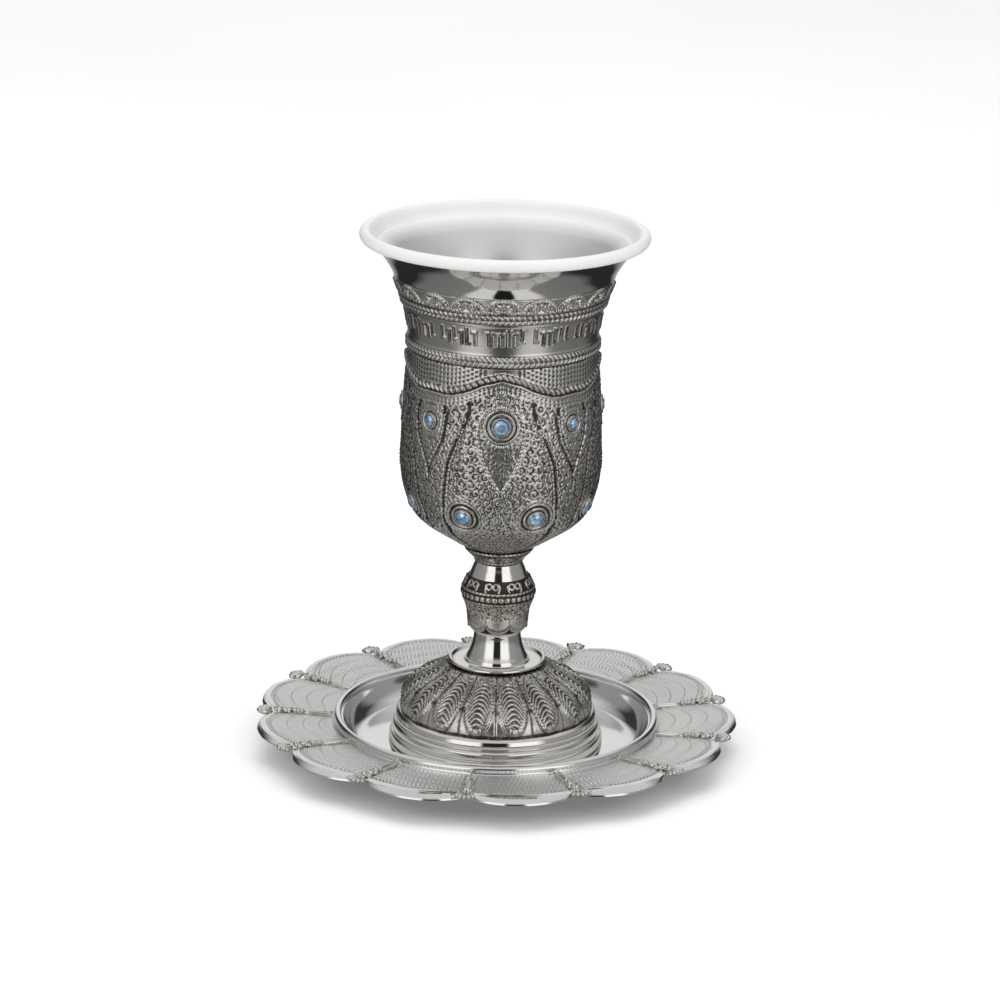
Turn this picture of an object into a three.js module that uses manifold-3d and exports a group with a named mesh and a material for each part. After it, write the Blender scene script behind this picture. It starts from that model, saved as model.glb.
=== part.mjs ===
// A kiddush cup: a filigree goblet with a plastic liner and blue stones, standing on a petalled saucer.
// Millimetres, +Z up. The origin is the centre of the saucer's underside, on the table.
import * as THREE from "three";
import { mergeVertices } from "three/addons/utils/BufferGeometryUtils.js";
import Module from "manifold-3d";

const wasm = await Module();
wasm.setup();

// ---- Driving dimensions -------------------------------------------------------------------------

const SAUCER = {
  petals: 13,
  samplesPerPetal: 5,
  lobeRadius: 68.25, // outermost reach of a petal
  notchRadius: 63.0, // outline between two petals
  firstSpine: THREE.MathUtils.degToRad(-96.9),
  sheet: 1.1,
  floorRadius: 37.2,
  floorTop: 2.2,
  floorUnder: 1.0,
  standRadius: 34.0, // the low ring that the saucer stands on
  standWidth: 1.8,
  ringRadius: 44.8, // the smooth bead round the well
  ringTop: 10.1,
  petalInner: 46.2,
  petalInnerTop: 7.9,
  valleyEnd: 8.6, // height of the sheet at the notch
  dome: 1.3, // how far a petal swells above its two spines
  edgeBottom: 8.0,
  crestInset: 1.3, // from the edge in to the crest of the border
};

const SPINE = {
  rodRadius: 0.8,
  rodEnd: 54.0,
  knotEnd: 60.6,
  knotWidth: 3.6,
  tasselEnd: 67.0,
  tasselWide: 6.2,
  height: 1.1, // proud of the valley
  depth: 0.9, // sunk in it
};

const FOOT = {
  segments: 32,
  bottom: SAUCER.floorTop,
  top: 25.3,
  topRadius: 13.3,
  wall: 1.3,
  // Three polished steps, then the foot of the dome.
  steps: [
    [30.2, 4.8],
    [29.2, 7.9],
    [28.1, 11.2],
  ],
  dome: [
    [27.0, 11.6],
    [26.2, 15.4],
    [23.5, 18.6],
    [18.9, 21.3],
  ],
  ovals: 16, // long ovals that swell out of the dome
  ovalHeight: 0.55,
};

const STEM = {
  segments: 16,
  top: 55.2,
  // A shallow dish with a bead rim, a trumpet out of it, the knop, and a waist.
  profile: [
    [13.5, 25.3],
    [13.5, 26.5],
    [12.5, 26.5],
    [11.9, 25.9],
    [8.8, 25.9],
    [7.5, 28.4],
    [6.6, 32.4],
    [6.5, 34.6],
    [7.1, 36.9],
    [8.3, 39.0],
    [9.0, 41.9],
    [10.5, 45.0],
    [10.5, 46.7],
    [9.4, 48.6],
    [7.5, 52.5],
    [6.4, 55.2],
  ],
};

const COLLAR = {
  segments: 16,
  profile: [
    [6.9, 55.2],
    [8.7, 57.6],
    [9.6, 58.6],
    [9.8, 59.6],
  ],
};

const BOWL = {
  segments: 24,
  bottom: 59.6,
  rimTop: 146.3,
  wall: 1.1,
  // Outer surface under the filigree, from the flat on the collar up to the plain band.
  body: [
    [10.3, 59.6],
    [17.3, 65.0],
    [23.6, 70.0],
    [26.6, 76.6],
    [27.6, 85.4],
    [27.3, 98.4],
    [26.6, 107.0],
  ],
  rope: { below: [116.9, 119.9], above: [129.3, 132.6], height: 0.55 },
  bandRadius: [26.3, 26.7, 27.8], // at the band's foot, middle and top
  flare: [
    [30.3, 136.7],
    [33.1, 142.1],
    [36.4, 146.3],
  ],
  inner: [
    [35.3, 146.3],
    [32.0, 142.7],
    [27.3, 132.6],
    [25.3, 125.6],
    [26.4, 86.0],
    [24.6, 75.6],
    [0, 62.0],
  ],
};

const WAVE = {
  peak: 114.9, // centre of the wavy rope at its four peaks
  drop: 5.2,
  height: 0.6,
  halfWidth: 0.95,
  repeats: 4,
};

const SCROLL = { count: 18, radius: 29.6, z: 134.9, width: 8.6, height: 4.2, proud: 0.8 };

const STROKES = {
  // Where the groups of strokes stand on the band.
  groups: 12,
  pitchDegrees: 30,
  widths: [3.4, 7.2, 5.4],
  tall: 5.2,
  z: 125.4,
  proud: 0.45,
};

const INSERT = {
  segments: 24,
  // Outer side, up under the rolled rim, over it, and down the inside to the floor.
  profile: [
    [0, 65.8],
    [16.0, 71.8],
    [23.2, 77.6],
    [25.3, 88.0],
    [25.0, 126.2],
    [26.9, 133.0],
    [31.5, 142.7],
    [34.5, BOWL.rimTop],
    [38.3, BOWL.rimTop],
    [39.95, 148.1],
    [38.3, 149.9],
    [36.5, 149.0],
    [34.6, 146.0],
    [30.5, 142.4],
    [25.7, 132.9],
    [23.9, 126.0],
    [24.1, 88.4],
    [22.0, 78.4],
    [15.4, 73.0],
    [0, 67.0],
  ],
};

const STONE_GAP = 0.3;
const SETTING = { wall: 0.8, sunk: 0.6, proud: 0.75, sides: 6 };
const STONE_ROWS = [
  { name: "upper_large", count: 4, first: 0, z: 100.9, tilt: -2, radius: 2.25 },
  { name: "upper_small", count: 4, first: 45, z: 100.4, tilt: -2, radius: 1.7 },
  { name: "lower", count: 8, first: 22.5, z: 74.4, tilt: 22, radius: 2.1 },
];
const STONE_SHAPE = { sides: 6, table: 0.58, height: 1.3 };

// ---- Materials ----------------------------------------------------------------------------------

const finish = (color, roughness, metalness) => {
  return new THREE.MeshStandardMaterial({ color, roughness, metalness });
};
const antiqued = finish(0xa19c93, 0.38, 1);
const polished = finish(0xd8d6d0, 0.12, 1);
const satin = finish(0xc6c6c4, 0.3, 1);
const plastic = finish(0xe2e5e0, 0.35, 0);
const sapphire = finish(0x8fb4d8, 0.08, 0);

// ---- Shape helpers ------------------------------------------------------------------------------

/** Merge the shared corners of a geometry and drop the slivers that collapse at the axis. */
function closed(geometry) {
  const bare = new THREE.BufferGeometry();
  bare.setAttribute("position", geometry.getAttribute("position"));
  if (geometry.index) bare.setIndex(geometry.index);
  const merged = mergeVertices(bare, 1e-4);
  const source = merged.index.array;
  const kept = [];
  for (let i = 0; i < source.length; i += 3) {
    const [a, b, c] = [source[i], source[i + 1], source[i + 2]];
    if (a !== b && b !== c && c !== a) kept.push(a, b, c);
  }
  merged.setIndex(kept);
  return merged;
}

/** Revolve a list of [radius, height] corners about +Z, then move each corner with sculpt. */
function revolve(corners, segments, sculpt = null) {
  const profile = corners.map(([radius, height]) => new THREE.Vector2(radius, height));
  const geometry = new THREE.LatheGeometry(profile, segments);
  geometry.rotateX(Math.PI / 2);
  const position = geometry.getAttribute("position");
  for (let i = 0; i < position.count; i++) {
    const row = i % corners.length;
    const column = Math.floor(i / corners.length) % segments;
    const angle = (column / segments) * 2 * Math.PI;
    const [radius, height] = corners[row];
    const [r, z] = sculpt ? sculpt(radius, height, angle, row) : [radius, height];
    position.setXYZ(i, r * Math.cos(angle), r * Math.sin(angle), z);
  }
  return closed(geometry);
}

/** A closed geometry as a solid for joining and cutting. */
function solid(geometry) {
  const merged = closed(geometry);
  const made = new wasm.Mesh({
    numProp: 3,
    vertProperties: new Float32Array(merged.getAttribute("position").array),
    triVerts: new Uint32Array(merged.index.array),
  });
  return new wasm.Manifold(made);
}

/** A solid back as a geometry. */
function geometryOf(made) {
  const mesh = made.getMesh();
  const geometry = new THREE.BufferGeometry();
  geometry.setAttribute("position", new THREE.BufferAttribute(mesh.vertProperties, 3));
  geometry.setIndex(new THREE.BufferAttribute(mesh.triVerts, 1));
  return geometry;
}

/** Join many geometries to a first one. */
function joined(first, others) {
  return others.reduce((body, other) => body.add(solid(other)), solid(first));
}

/** A named mesh. */
function part(name, geometry, material) {
  const shown = geometry.index ? geometry.toNonIndexed() : geometry;
  shown.computeVertexNormals();
  const mesh = new THREE.Mesh(shown, material);
  mesh.name = name;
  return mesh;
}

/** Radius of a polyline of [radius, height] corners at a height. */
function radiusAt(corners, height) {
  for (let i = 1; i < corners.length; i++) {
    const [r0, z0] = corners[i - 1];
    const [r1, z1] = corners[i];
    if (height >= Math.min(z0, z1) && height <= Math.max(z0, z1)) {
      return r0 + ((r1 - r0) * (height - z0)) / (z1 - z0);
    }
  }
  throw new Error(`no wall at height ${height}`);
}

/** Turn and move a geometry made along local +Z onto the cup's wall, facing out. */
function onWall(geometry, radius, z, angle, tilt) {
  geometry.rotateY(Math.PI / 2 + tilt);
  geometry.translate(radius, 0, z);
  geometry.rotateZ(angle);
  return geometry;
}

// ---- Saucer -------------------------------------------------------------------------------------

/** Place across one petal, 0 on one spine and 1 on the next. */
function petalShare(angle) {
  const turn = (angle - SAUCER.firstSpine) / (2 * Math.PI);
  const share = (turn * SAUCER.petals) % 1;
  return share < 0 ? share + 1 : share;
}

function saucerEdge(angle) {
  const across = Math.abs(2 * petalShare(angle) - 1);
  const reach = SAUCER.lobeRadius - SAUCER.notchRadius;
  return SAUCER.notchRadius + reach * (1 - Math.pow(across, 2.2));
}

/** Height of the top of a petal, at a share of the way out from the ring to the edge. */
function petalTop(share, angle) {
  const across = 1 - Math.pow(Math.abs(2 * petalShare(angle) - 1), 2);
  const slope = THREE.MathUtils.lerp(SAUCER.petalInnerTop, SAUCER.valleyEnd, share);
  return slope + SAUCER.dome * across * Math.sin((Math.PI / 2) * Math.min(1, share * 1.1));
}

function buildSaucer() {
  const { ringRadius, ringTop, petalInner, petalInnerTop, sheet, floorUnder } = SAUCER;
  const standInner = SAUCER.standRadius - SAUCER.standWidth;
  const segments = SAUCER.petals * SAUCER.samplesPerPetal;
  const out = (share, inset, drop) => ({ share, inset, drop });
  // Rows from the middle of the underside, out and over the edge, to the middle of the well.
  const rows = [
    [0, floorUnder],
    [standInner, floorUnder],
    [standInner, 0],
    [SAUCER.standRadius, 0],
    [37.6, 1.2],
    [44.0, 6.7],
    out(1, SAUCER.crestInset, sheet),
    out(1, 0.3, "bottom"),
    out(1, 0, "bottom"),
    out(1, SAUCER.crestInset, 0),
    out(1, SAUCER.crestInset + 1.6, 0.35),
    out(0.45, 0, 0),
    [petalInner, petalInnerTop],
    [ringRadius + 0.7, ringTop],
    [ringRadius - 0.9, ringTop],
    [42.4, 6.6],
    [SAUCER.floorRadius, SAUCER.floorTop],
    [0, SAUCER.floorTop],
  ];
  const corners = rows.map((row) => (Array.isArray(row) ? row : [60, 6]));
  const sculpt = (radius, height, columnAngle, row) => {
    const place = rows[row];
    if (Array.isArray(place)) return place;
    const angle = columnAngle + SAUCER.firstSpine;
    const edge = saucerEdge(angle);
    const r = THREE.MathUtils.lerp(petalInner, edge, place.share) - place.inset;
    if (place.drop === "bottom") return [r, SAUCER.edgeBottom + place.inset * 0.2];
    const share = (r - petalInner) / (edge - petalInner);
    return [r, petalTop(share, angle) - place.drop];
  };
  const plate = revolve(corners, segments, sculpt);
  plate.rotateZ(SAUCER.firstSpine);

  const ornaments = [];
  for (let i = 0; i < SAUCER.petals; i++) {
    const angle = SAUCER.firstSpine + (i * 2 * Math.PI) / SAUCER.petals;
    ornaments.push(spineShape().rotateZ(angle));
  }
  return joined(plate, ornaments);
}

/** Height of the valley between two petals at a radius. */
function valley(radius) {
  const share = (radius - SAUCER.petalInner) / (SAUCER.notchRadius - SAUCER.petalInner);
  return THREE.MathUtils.lerp(SAUCER.petalInnerTop, SAUCER.valleyEnd, share);
}

/** One spine along +X, in plan a thin rod, a round knot and a flared tassel. */
function spineShape() {
  const { rodRadius, rodEnd, knotEnd, knotWidth, tasselEnd, tasselWide, height, depth } = SPINE;
  const start = SAUCER.ringRadius + 0.6;
  const half = [
    [start, rodRadius],
    [rodEnd, rodRadius],
    [(rodEnd + knotEnd) / 2, knotWidth / 2],
    [knotEnd, rodRadius],
    [tasselEnd, tasselWide / 2],
  ];
  const mirrored = half.map(([x, y]) => [x, -y]).reverse();
  const corners = [...half, ...mirrored].map(([x, y]) => new THREE.Vector2(x, y));
  const plan = new THREE.Shape(corners);
  const spine = new THREE.ExtrudeGeometry(plan, { depth: height + depth, bevelEnabled: false });
  // Laid along the valley between the petals, mostly sunk in it.
  const fall = (valley(start) - valley(tasselEnd)) / (tasselEnd - start);
  spine.translate(-start, 0, -depth);
  spine.rotateY(Math.atan(fall));
  spine.translate(start, 0, valley(start));
  return spine;
}

// ---- Foot, stem and collar ----------------------------------------------------------------------

function buildFoot() {
  const [first, second, third] = FOOT.steps;
  const outer = [
    [first[0], FOOT.bottom],
    first,
    [second[0], first[1] + 0.3],
    second,
    [third[0], second[1] + 0.3],
    third,
    ...FOOT.dome,
    [FOOT.topRadius, FOOT.top],
    [0, FOOT.top],
  ];
  const inner = [
    [0, FOOT.top - FOOT.wall],
    [12.4, FOOT.top - FOOT.wall],
    [18.6, 19.6],
    [24.4, 14.4],
    [26.2, 7.0],
    [27.8, FOOT.bottom],
  ];
  const domeStart = 6;
  const domeEnd = domeStart + FOOT.dome.length;
  const sculpt = (radius, height, angle, row) => {
    const swells = row > domeStart && row < domeEnd;
    const crest = -Math.cos(FOOT.ovals * angle);
    return [radius + (swells ? FOOT.ovalHeight * crest : 0), height];
  };
  // The wall is one closed loop, from the bottom edge over the dome and back down inside.
  const loop = [...outer, ...inner, [first[0], FOOT.bottom]];
  return revolve(loop, FOOT.segments, sculpt);
}

function buildStem() {
  const { profile, segments, top } = STEM;
  return revolve([[0, FOOT.top], ...profile, [0, top]], segments);
}

function buildCollar() {
  const { profile, segments } = COLLAR;
  const last = profile[profile.length - 1];
  return revolve([[0, STEM.top], ...profile, [0, last[1]]], segments);
}

// ---- Bowl ---------------------------------------------------------------------------------------

/** How far the wavy rope has dropped from its peak, 0 to 1, at an angle. */
function waveShare(angle) {
  const turn = ((angle * WAVE.repeats) / (2 * Math.PI)) % 1;
  const fromPeak = Math.abs(turn < 0.5 ? turn : turn - 1) * 2;
  const eased = THREE.MathUtils.smoothstep(fromPeak, 0.12, 0.8);
  return eased;
}

function bowlOuter() {
  const { below, above, height } = BOWL.rope;
  const [foot, middle, top] = BOWL.bandRadius;
  const ropeRows = ([low, high], lowRadius, highRadius) => [
    [lowRadius, low],
    [(lowRadius + highRadius) / 2 + height, (low + high) / 2],
    [highRadius, high],
  ];
  const wave = [
    [26.1, WAVE.peak - WAVE.halfWidth],
    [26.05 + WAVE.height, WAVE.peak],
    [26.0, WAVE.peak + WAVE.halfWidth],
  ];
  return [
    ...BOWL.body,
    ...wave,
    ...ropeRows(below, 26.05, foot),
    [middle, 125.0],
    ...ropeRows(above, top, 28.4),
    ...BOWL.flare,
  ];
}

/** The flat raised half-round on the flare that carries one pair of scrolls. */
function scrollBoss(angle) {
  const { width, height, proud, radius, z } = SCROLL;
  const shape = new THREE.Shape();
  shape.moveTo(-height / 2, -width / 2);
  shape.lineTo(-height / 2, width / 2);
  shape.lineTo(height * 0.2, width / 2);
  shape.lineTo(height / 2, 0);
  shape.lineTo(height * 0.2, -width / 2);
  shape.closePath();
  const boss = new THREE.ExtrudeGeometry(shape, { depth: proud + 1.0, bevelEnabled: false });
  boss.translate(0, 0, -1.0);
  // Local +X is down the wall after the turn, so the arch is turned to point up.
  boss.rotateZ(Math.PI);
  return onWall(boss, radius, z, angle, THREE.MathUtils.degToRad(23));
}

/** Raised blocks round the plain band, one for each group of strokes; they spell nothing. */
function strokeBlocks() {
  const { groups, pitchDegrees, widths, tall, z, proud } = STROKES;
  const depth = proud + 0.9;
  return Array.from({ length: groups }, (_, i) => {
    const block = new THREE.BoxGeometry(tall, widths[i % widths.length], depth);
    block.translate(0, 0, proud - depth / 2);
    const angle = THREE.MathUtils.degToRad(i * pitchDegrees);
    return onWall(block, BOWL.bandRadius[1], z, angle, 0);
  });
}

function stonePlaces() {
  const outer = bowlOuter();
  return STONE_ROWS.flatMap(({ name, count, first, z, tilt, radius }) =>
    Array.from({ length: count }, (_, i) => ({
      name: `stone_${name}_${i + 1}`,
      radius,
      wall: radiusAt(outer, z),
      z,
      angle: THREE.MathUtils.degToRad(first + (i * 360) / count),
      tilt: THREE.MathUtils.degToRad(tilt),
    })),
  );
}

/** A short round-sided block that stands along local +Z. */
function drum(radius, from, to, sides) {
  const block = new THREE.CylinderGeometry(radius, radius, to - from, sides);
  block.rotateX(Math.PI / 2);
  block.rotateZ(Math.PI / sides);
  block.translate(0, 0, (from + to) / 2);
  return block;
}

function buildBowl() {
  const outer = bowlOuter();
  const loop = [[0, BOWL.bottom], ...outer, ...BOWL.inner];
  const waveStart = 1 + BOWL.body.length;
  const sculpt = (radius, height, angle, row) => {
    const onWave = row >= waveStart && row < waveStart + 3;
    return [radius, onWave ? height - WAVE.drop * waveShare(angle) : height];
  };
  const wall = revolve(loop, BOWL.segments, sculpt);
  const bosses = strokeBlocks();
  for (let i = 0; i < SCROLL.count; i++) {
    bosses.push(scrollBoss(((i + 0.5) * 2 * Math.PI) / SCROLL.count));
  }
  const pockets = [];
  for (const { radius, wall: reach, z, angle, tilt } of stonePlaces()) {
    const { wall: rim, sunk, proud, sides } = SETTING;
    bosses.push(onWall(drum(radius + STONE_GAP + rim, -sunk, proud, sides), reach, z, angle, tilt));
    pockets.push(onWall(drum(radius + STONE_GAP, -0.1, proud + 1, sides), reach, z, angle, tilt));
  }
  const body = joined(wall, bosses);
  return pockets.reduce((rest, pocket) => rest.subtract(solid(pocket)), body);
}

// ---- Stones and insert --------------------------------------------------------------------------

/** A round cut stone that stands along local +Z from its flat back. */
function stoneGeometry(radius) {
  const { sides, table, height } = STONE_SHAPE;
  const profile = [
    [0, 0],
    [radius, 0],
    [radius * table, height],
    [0, height],
  ];
  return revolve(profile, sides);
}

function buildStone({ name, radius, wall, z, angle, tilt }) {
  const stone = part(name, stoneGeometry(radius), sapphire);
  stone.rotation.set(0, Math.PI / 2 + tilt, 0);
  stone.position.set(wall + 0.2 * Math.cos(tilt), 0, z - 0.2 * Math.sin(tilt));
  const turned = new THREE.Group();
  turned.rotation.z = angle;
  turned.add(stone);
  return turned;
}

function buildInsert() {
  return revolve(INSERT.profile, INSERT.segments);
}

// ---- Assembly -----------------------------------------------------------------------------------

const cup = new THREE.Group();
cup.add(part("foot", buildFoot(), antiqued));
cup.add(part("stem", buildStem(), polished));
cup.add(part("collar", buildCollar(), polished));
cup.add(part("bowl", geometryOf(buildBowl()), antiqued));
cup.add(part("insert", buildInsert(), plastic));
for (const place of stonePlaces()) cup.add(buildStone(place));

const root = new THREE.Group();
root.add(part("saucer", geometryOf(buildSaucer()), satin));
root.add(cup);

export default root;
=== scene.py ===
"""The looks of a kiddush cup: a filigree goblet with a plastic liner and blue stones on its petalled saucer.

Lengths are in millimetres until a mesh is handed over, and the cup's axis is +Z through the origin.
"""

import logging
import math
from dataclasses import dataclass, field
from enum import Enum
from typing import Callable

import bmesh
import bpy
import numpy as np
from mathutils import Matrix, Vector

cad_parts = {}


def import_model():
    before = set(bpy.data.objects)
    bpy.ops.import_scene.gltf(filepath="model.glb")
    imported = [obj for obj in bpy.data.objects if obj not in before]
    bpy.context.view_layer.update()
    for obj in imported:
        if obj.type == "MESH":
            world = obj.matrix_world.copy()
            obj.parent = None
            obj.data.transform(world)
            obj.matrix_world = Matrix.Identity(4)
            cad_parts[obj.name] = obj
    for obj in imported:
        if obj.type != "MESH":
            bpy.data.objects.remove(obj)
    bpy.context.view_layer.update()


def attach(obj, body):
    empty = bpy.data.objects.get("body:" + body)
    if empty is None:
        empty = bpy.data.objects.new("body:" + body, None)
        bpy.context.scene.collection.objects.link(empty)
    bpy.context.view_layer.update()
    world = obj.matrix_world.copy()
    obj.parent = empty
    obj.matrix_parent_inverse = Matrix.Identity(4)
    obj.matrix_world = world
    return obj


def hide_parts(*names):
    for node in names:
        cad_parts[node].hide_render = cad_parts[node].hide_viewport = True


LOG = logging.getLogger("kiddush_cup")
MM = 0.001
TAU = 2.0 * math.pi
BODY = "root"
FRONT = -math.pi / 2  # the side of the cup that faces the camera

Array = np.ndarray


class Slot(Enum):
    """The record's material slots."""

    SAUCER = "saucer_metal"
    ANTIQUE = "antique_metal"
    POLISHED = "polished_metal"
    LINER = "liner_plastic"
    STONE = "blue_stone"


class Zone(Enum):
    """What a stretch of a turned profile is."""

    PLAIN = 0
    RELIEF = 1


# ---- Small wire and dot shapes, as heights from 0 to 1 ----------------------------------------------


def wire(distance: Array, half_width: float) -> Array:
    """A round wire's height across its line, 1 on the line and 0 past its half width.

    Args:
        distance: Distance from the wire's line.
        half_width: Half the wire's width.

    Returns:
        Heights from 0 to 1.
    """
    share = np.clip(np.abs(distance) / half_width, 0.0, 1.0)
    return np.sqrt(1.0 - share * share)


def groove(distance: Array, half_width: float) -> Array:
    """A soft-sided groove's depth, 1 on its line and 0 past its half width.

    Args:
        distance: Distance from the groove's line.
        half_width: Half the groove's width.

    Returns:
        Depths from 0 to 1.
    """
    share = np.clip(np.abs(distance) / half_width, 0.0, 1.0)
    return 1.0 - share * share * (3.0 - 2.0 * share)


def centred(turns: Array) -> Array:
    """The part of a turn from -0.5 to 0.5.

    Args:
        turns: Any number of turns.

    Returns:
        What is left, from -0.5 to 0.5.
    """
    return turns - np.floor(turns) - 0.5


def scatter(first: Array, second: Array, seed: float) -> Array:
    """A repeatable number from 0 to 1 for each pair of cell numbers.

    Args:
        first: The first cell number.
        second: The second cell number.
        seed: Picks another set.

    Returns:
        Numbers from 0 to 1.
    """
    mixed = np.sin(first * 12.9898 + second * 78.233 + seed * 37.719) * 43758.5453
    return mixed - np.floor(mixed)


@dataclass
class Grid:
    """Every vertex of a turned piece: its angle, its place along the profile, its radius and height."""

    angle: Array
    along: Array
    radius: Array
    height: Array
    row_along: Array
    row_radius: Array

    def fold(self, repeats: int, first: float = 0.0) -> Array:
        """Degrees from the nearest of some evenly spread meridians.

        Args:
            repeats: How many meridians.
            first: The first one's angle in radians.

        Returns:
            Degrees, never negative.
        """
        turns = centred((self.angle - first) / TAU * repeats + 0.5)
        return np.abs(turns) * 360.0 / repeats

    def teeth(self, count: int, lean: Array | float = 0.0) -> Array:
        """Place across one of many teeth round the wall, from -0.5 to 0.5.

        Args:
            count: How many teeth.
            lean: Turns of a tooth to add, which slants it.

        Returns:
            Places from -0.5 to 0.5.
        """
        return centred(self.angle / TAU * count + lean)


def scroll_fill(grid: Grid, pitch: float, gap: float, seed: float) -> Array:
    """Rows of small wire spirals, packed like bricks.

    Args:
        grid: The vertices to cover.
        pitch: Size of one spiral.
        gap: Distance between the turns of a spiral.
        seed: Picks another scatter of turns and hands.

    Returns:
        Heights from 0 to 1.
    """
    step = pitch * 0.88
    row = np.floor(grid.along / step)
    middle = (row + 0.5) * step
    row_radius = np.interp(middle, grid.row_along, grid.row_radius)
    count = np.maximum(4.0, np.round(TAU * row_radius / pitch))
    place = grid.angle / TAU * count + 0.5 * np.mod(row, 2.0)
    cell = np.floor(place)
    x = (place - cell - 0.5) * TAU * grid.radius / count
    y = grid.along - middle
    turn = scatter(row, np.mod(cell, count), seed)
    hand = np.where(scatter(np.mod(cell, count), row, seed + 1.0) > 0.5, 1.0, -1.0)
    reach = np.hypot(x, y)
    sweep = np.arctan2(y, x) * hand / TAU
    spiral = wire(centred(reach / gap - sweep + turn) * gap, gap * 0.42)
    spiral = spiral * (reach < pitch * 0.47)
    ring = wire(reach - pitch * 0.5, gap * 0.3) * 0.8
    bead = wire(reach, gap * 0.42)
    return np.maximum(np.maximum(spiral, ring), bead)


def grain(grid: Grid, pitch: float, seed: float) -> Array:
    """A fine stipple of round grains, heights from 0 to 1.

    Args:
        grid: The vertices to cover.
        pitch: Distance between the grains.
        seed: Picks other sizes.

    Returns:
        Heights from 0 to 1.
    """
    row = np.floor(grid.along / pitch)
    middle = (row + 0.5) * pitch
    row_radius = np.interp(middle, grid.row_along, grid.row_radius)
    count = np.maximum(4.0, np.round(TAU * row_radius / pitch))
    place = grid.angle / TAU * count + 0.5 * np.mod(row, 2.0)
    cell = np.floor(place)
    x = (place - cell - 0.5) * TAU * grid.radius / count
    size = 0.3 + 0.25 * scatter(row, np.mod(cell, count), seed)
    return wire(np.hypot(x, grid.along - middle) / pitch, 1.0) * size * 2.0


def pierced(x_cell: Array, y_cell: Array, pitch: float, radius: float) -> Array:
    """Round holes on a square lattice, 1 between the holes and 0 in them.

    Args:
        x_cell: Place across a cell, from -0.5 to 0.5.
        y_cell: Place up a cell, from -0.5 to 0.5.
        pitch: The lattice's pitch.
        radius: A hole's radius.

    Returns:
        Heights from 0 to 1.
    """
    return 1.0 - groove(np.hypot(x_cell * pitch, y_cell * pitch), radius * 1.5)


# ---- Turning -----------------------------------------------------------------------------------------


@dataclass
class Profile:
    """A profile of revolution, built up run by run from radius and height."""

    radius: list[float] = field(default_factory=list)
    height: list[float] = field(default_factory=list)
    zone: list[int] = field(default_factory=list)

    def run(
        self,
        corners: list[tuple[float, float]],
        step: float = 2.0,
        smooth: bool = False,
        zone: Zone = Zone.PLAIN,
    ) -> "Profile":
        """Add a stretch of the profile.

        Args:
            corners: Radius and height of each corner.
            step: Greatest distance between two rows.
            smooth: Whether the stretch is one curve through its corners.
            zone: What the stretch is.

        Returns:
            The profile itself.
        """
        points = np.array(corners, float)
        if smooth and len(points) > 2:
            points = self._curve(points)
        lengths = np.r_[0.0, np.cumsum(np.hypot(*np.diff(points, axis=0).T))]
        if smooth or len(points) < 3:
            count = max(2, int(math.ceil(lengths[-1] / step)) + 1)
            stations = np.linspace(0.0, lengths[-1], count)
        else:
            spans = [
                np.linspace(a, b, max(2, int(math.ceil((b - a) / step)) + 1))
                for a, b in zip(lengths, lengths[1:])
            ]
            stations = np.unique(np.concatenate(spans).round(6))
        for place in stations:
            self._add(
                float(np.interp(place, lengths, points[:, 0])),
                float(np.interp(place, lengths, points[:, 1])),
                zone,
            )
        return self

    def _add(self, radius: float, height: float, zone: Zone) -> None:
        """Add one row, unless it repeats the last one."""
        if self.radius and math.hypot(radius - self.radius[-1], height - self.height[-1]) < 1e-4:
            self.zone[-1] = max(self.zone[-1], zone.value)
            return
        self.radius.append(radius)
        self.height.append(height)
        self.zone.append(zone.value)

    @staticmethod
    def _curve(points: Array) -> Array:
        """A smooth curve through the points, as many short chords."""
        padded = np.vstack([2 * points[0] - points[1], points, 2 * points[-1] - points[-2]])
        share = np.linspace(0.0, 1.0, 13)[:-1, None]
        pieces = []
        for a, b, c, d in zip(padded, padded[1:], padded[2:], padded[3:]):
            pieces.append(
                0.5
                * (
                    2 * b
                    + (c - a) * share
                    + (2 * a - 5 * b + 4 * c - d) * share**2
                    + (3 * b - 3 * c + d - a) * share**3
                )
            )
        return np.vstack(pieces + [points[-1:]])


Sculpt = Callable[[Grid], tuple[Array, Array]]


def spun(profile: Profile, steps: int, closed: bool) -> bmesh.types.BMesh:
    """Spin a profile about the cup's axis.

    Args:
        profile: The rows, in order.
        steps: How many meridians.
        closed: Whether the last row joins the first; otherwise both lie on the axis.

    Returns:
        A closed shell with each vertex's row number in the layer "row".
    """
    shape = bmesh.new()
    layer = shape.verts.layers.float.new("row")
    rows = []
    for number, (radius, height) in enumerate(zip(profile.radius, profile.height)):
        vertex = shape.verts.new((radius * MM, 0.0, height * MM))
        vertex[layer] = float(number)
        rows.append(vertex)
    edges = [shape.edges.new(pair) for pair in zip(rows, rows[1:])]
    if closed:
        edges.append(shape.edges.new((rows[-1], rows[0])))
    bmesh.ops.spin(
        shape,
        geom=rows + edges,
        cent=(0, 0, 0),
        axis=(0, 0, 1),
        angle=TAU,
        steps=steps,
        use_merge=True,
        use_duplicate=False,
    )
    bmesh.ops.remove_doubles(shape, verts=shape.verts, dist=1e-7)
    bmesh.ops.recalc_face_normals(shape, faces=shape.faces)
    return shape


def mesh_of(shape: bmesh.types.BMesh, name: str, smooth: bool = True) -> bpy.types.Mesh:
    """Turn a bench mesh into a mesh and free it.

    Args:
        shape: The bench mesh.
        name: The mesh's name.
        smooth: Whether it is shaded smooth.

    Returns:
        The new mesh.
    """
    mesh = bpy.data.meshes.new(name)
    shape.to_mesh(mesh)
    shape.free()
    mesh.shade_smooth() if smooth else mesh.shade_flat()
    return mesh


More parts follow.
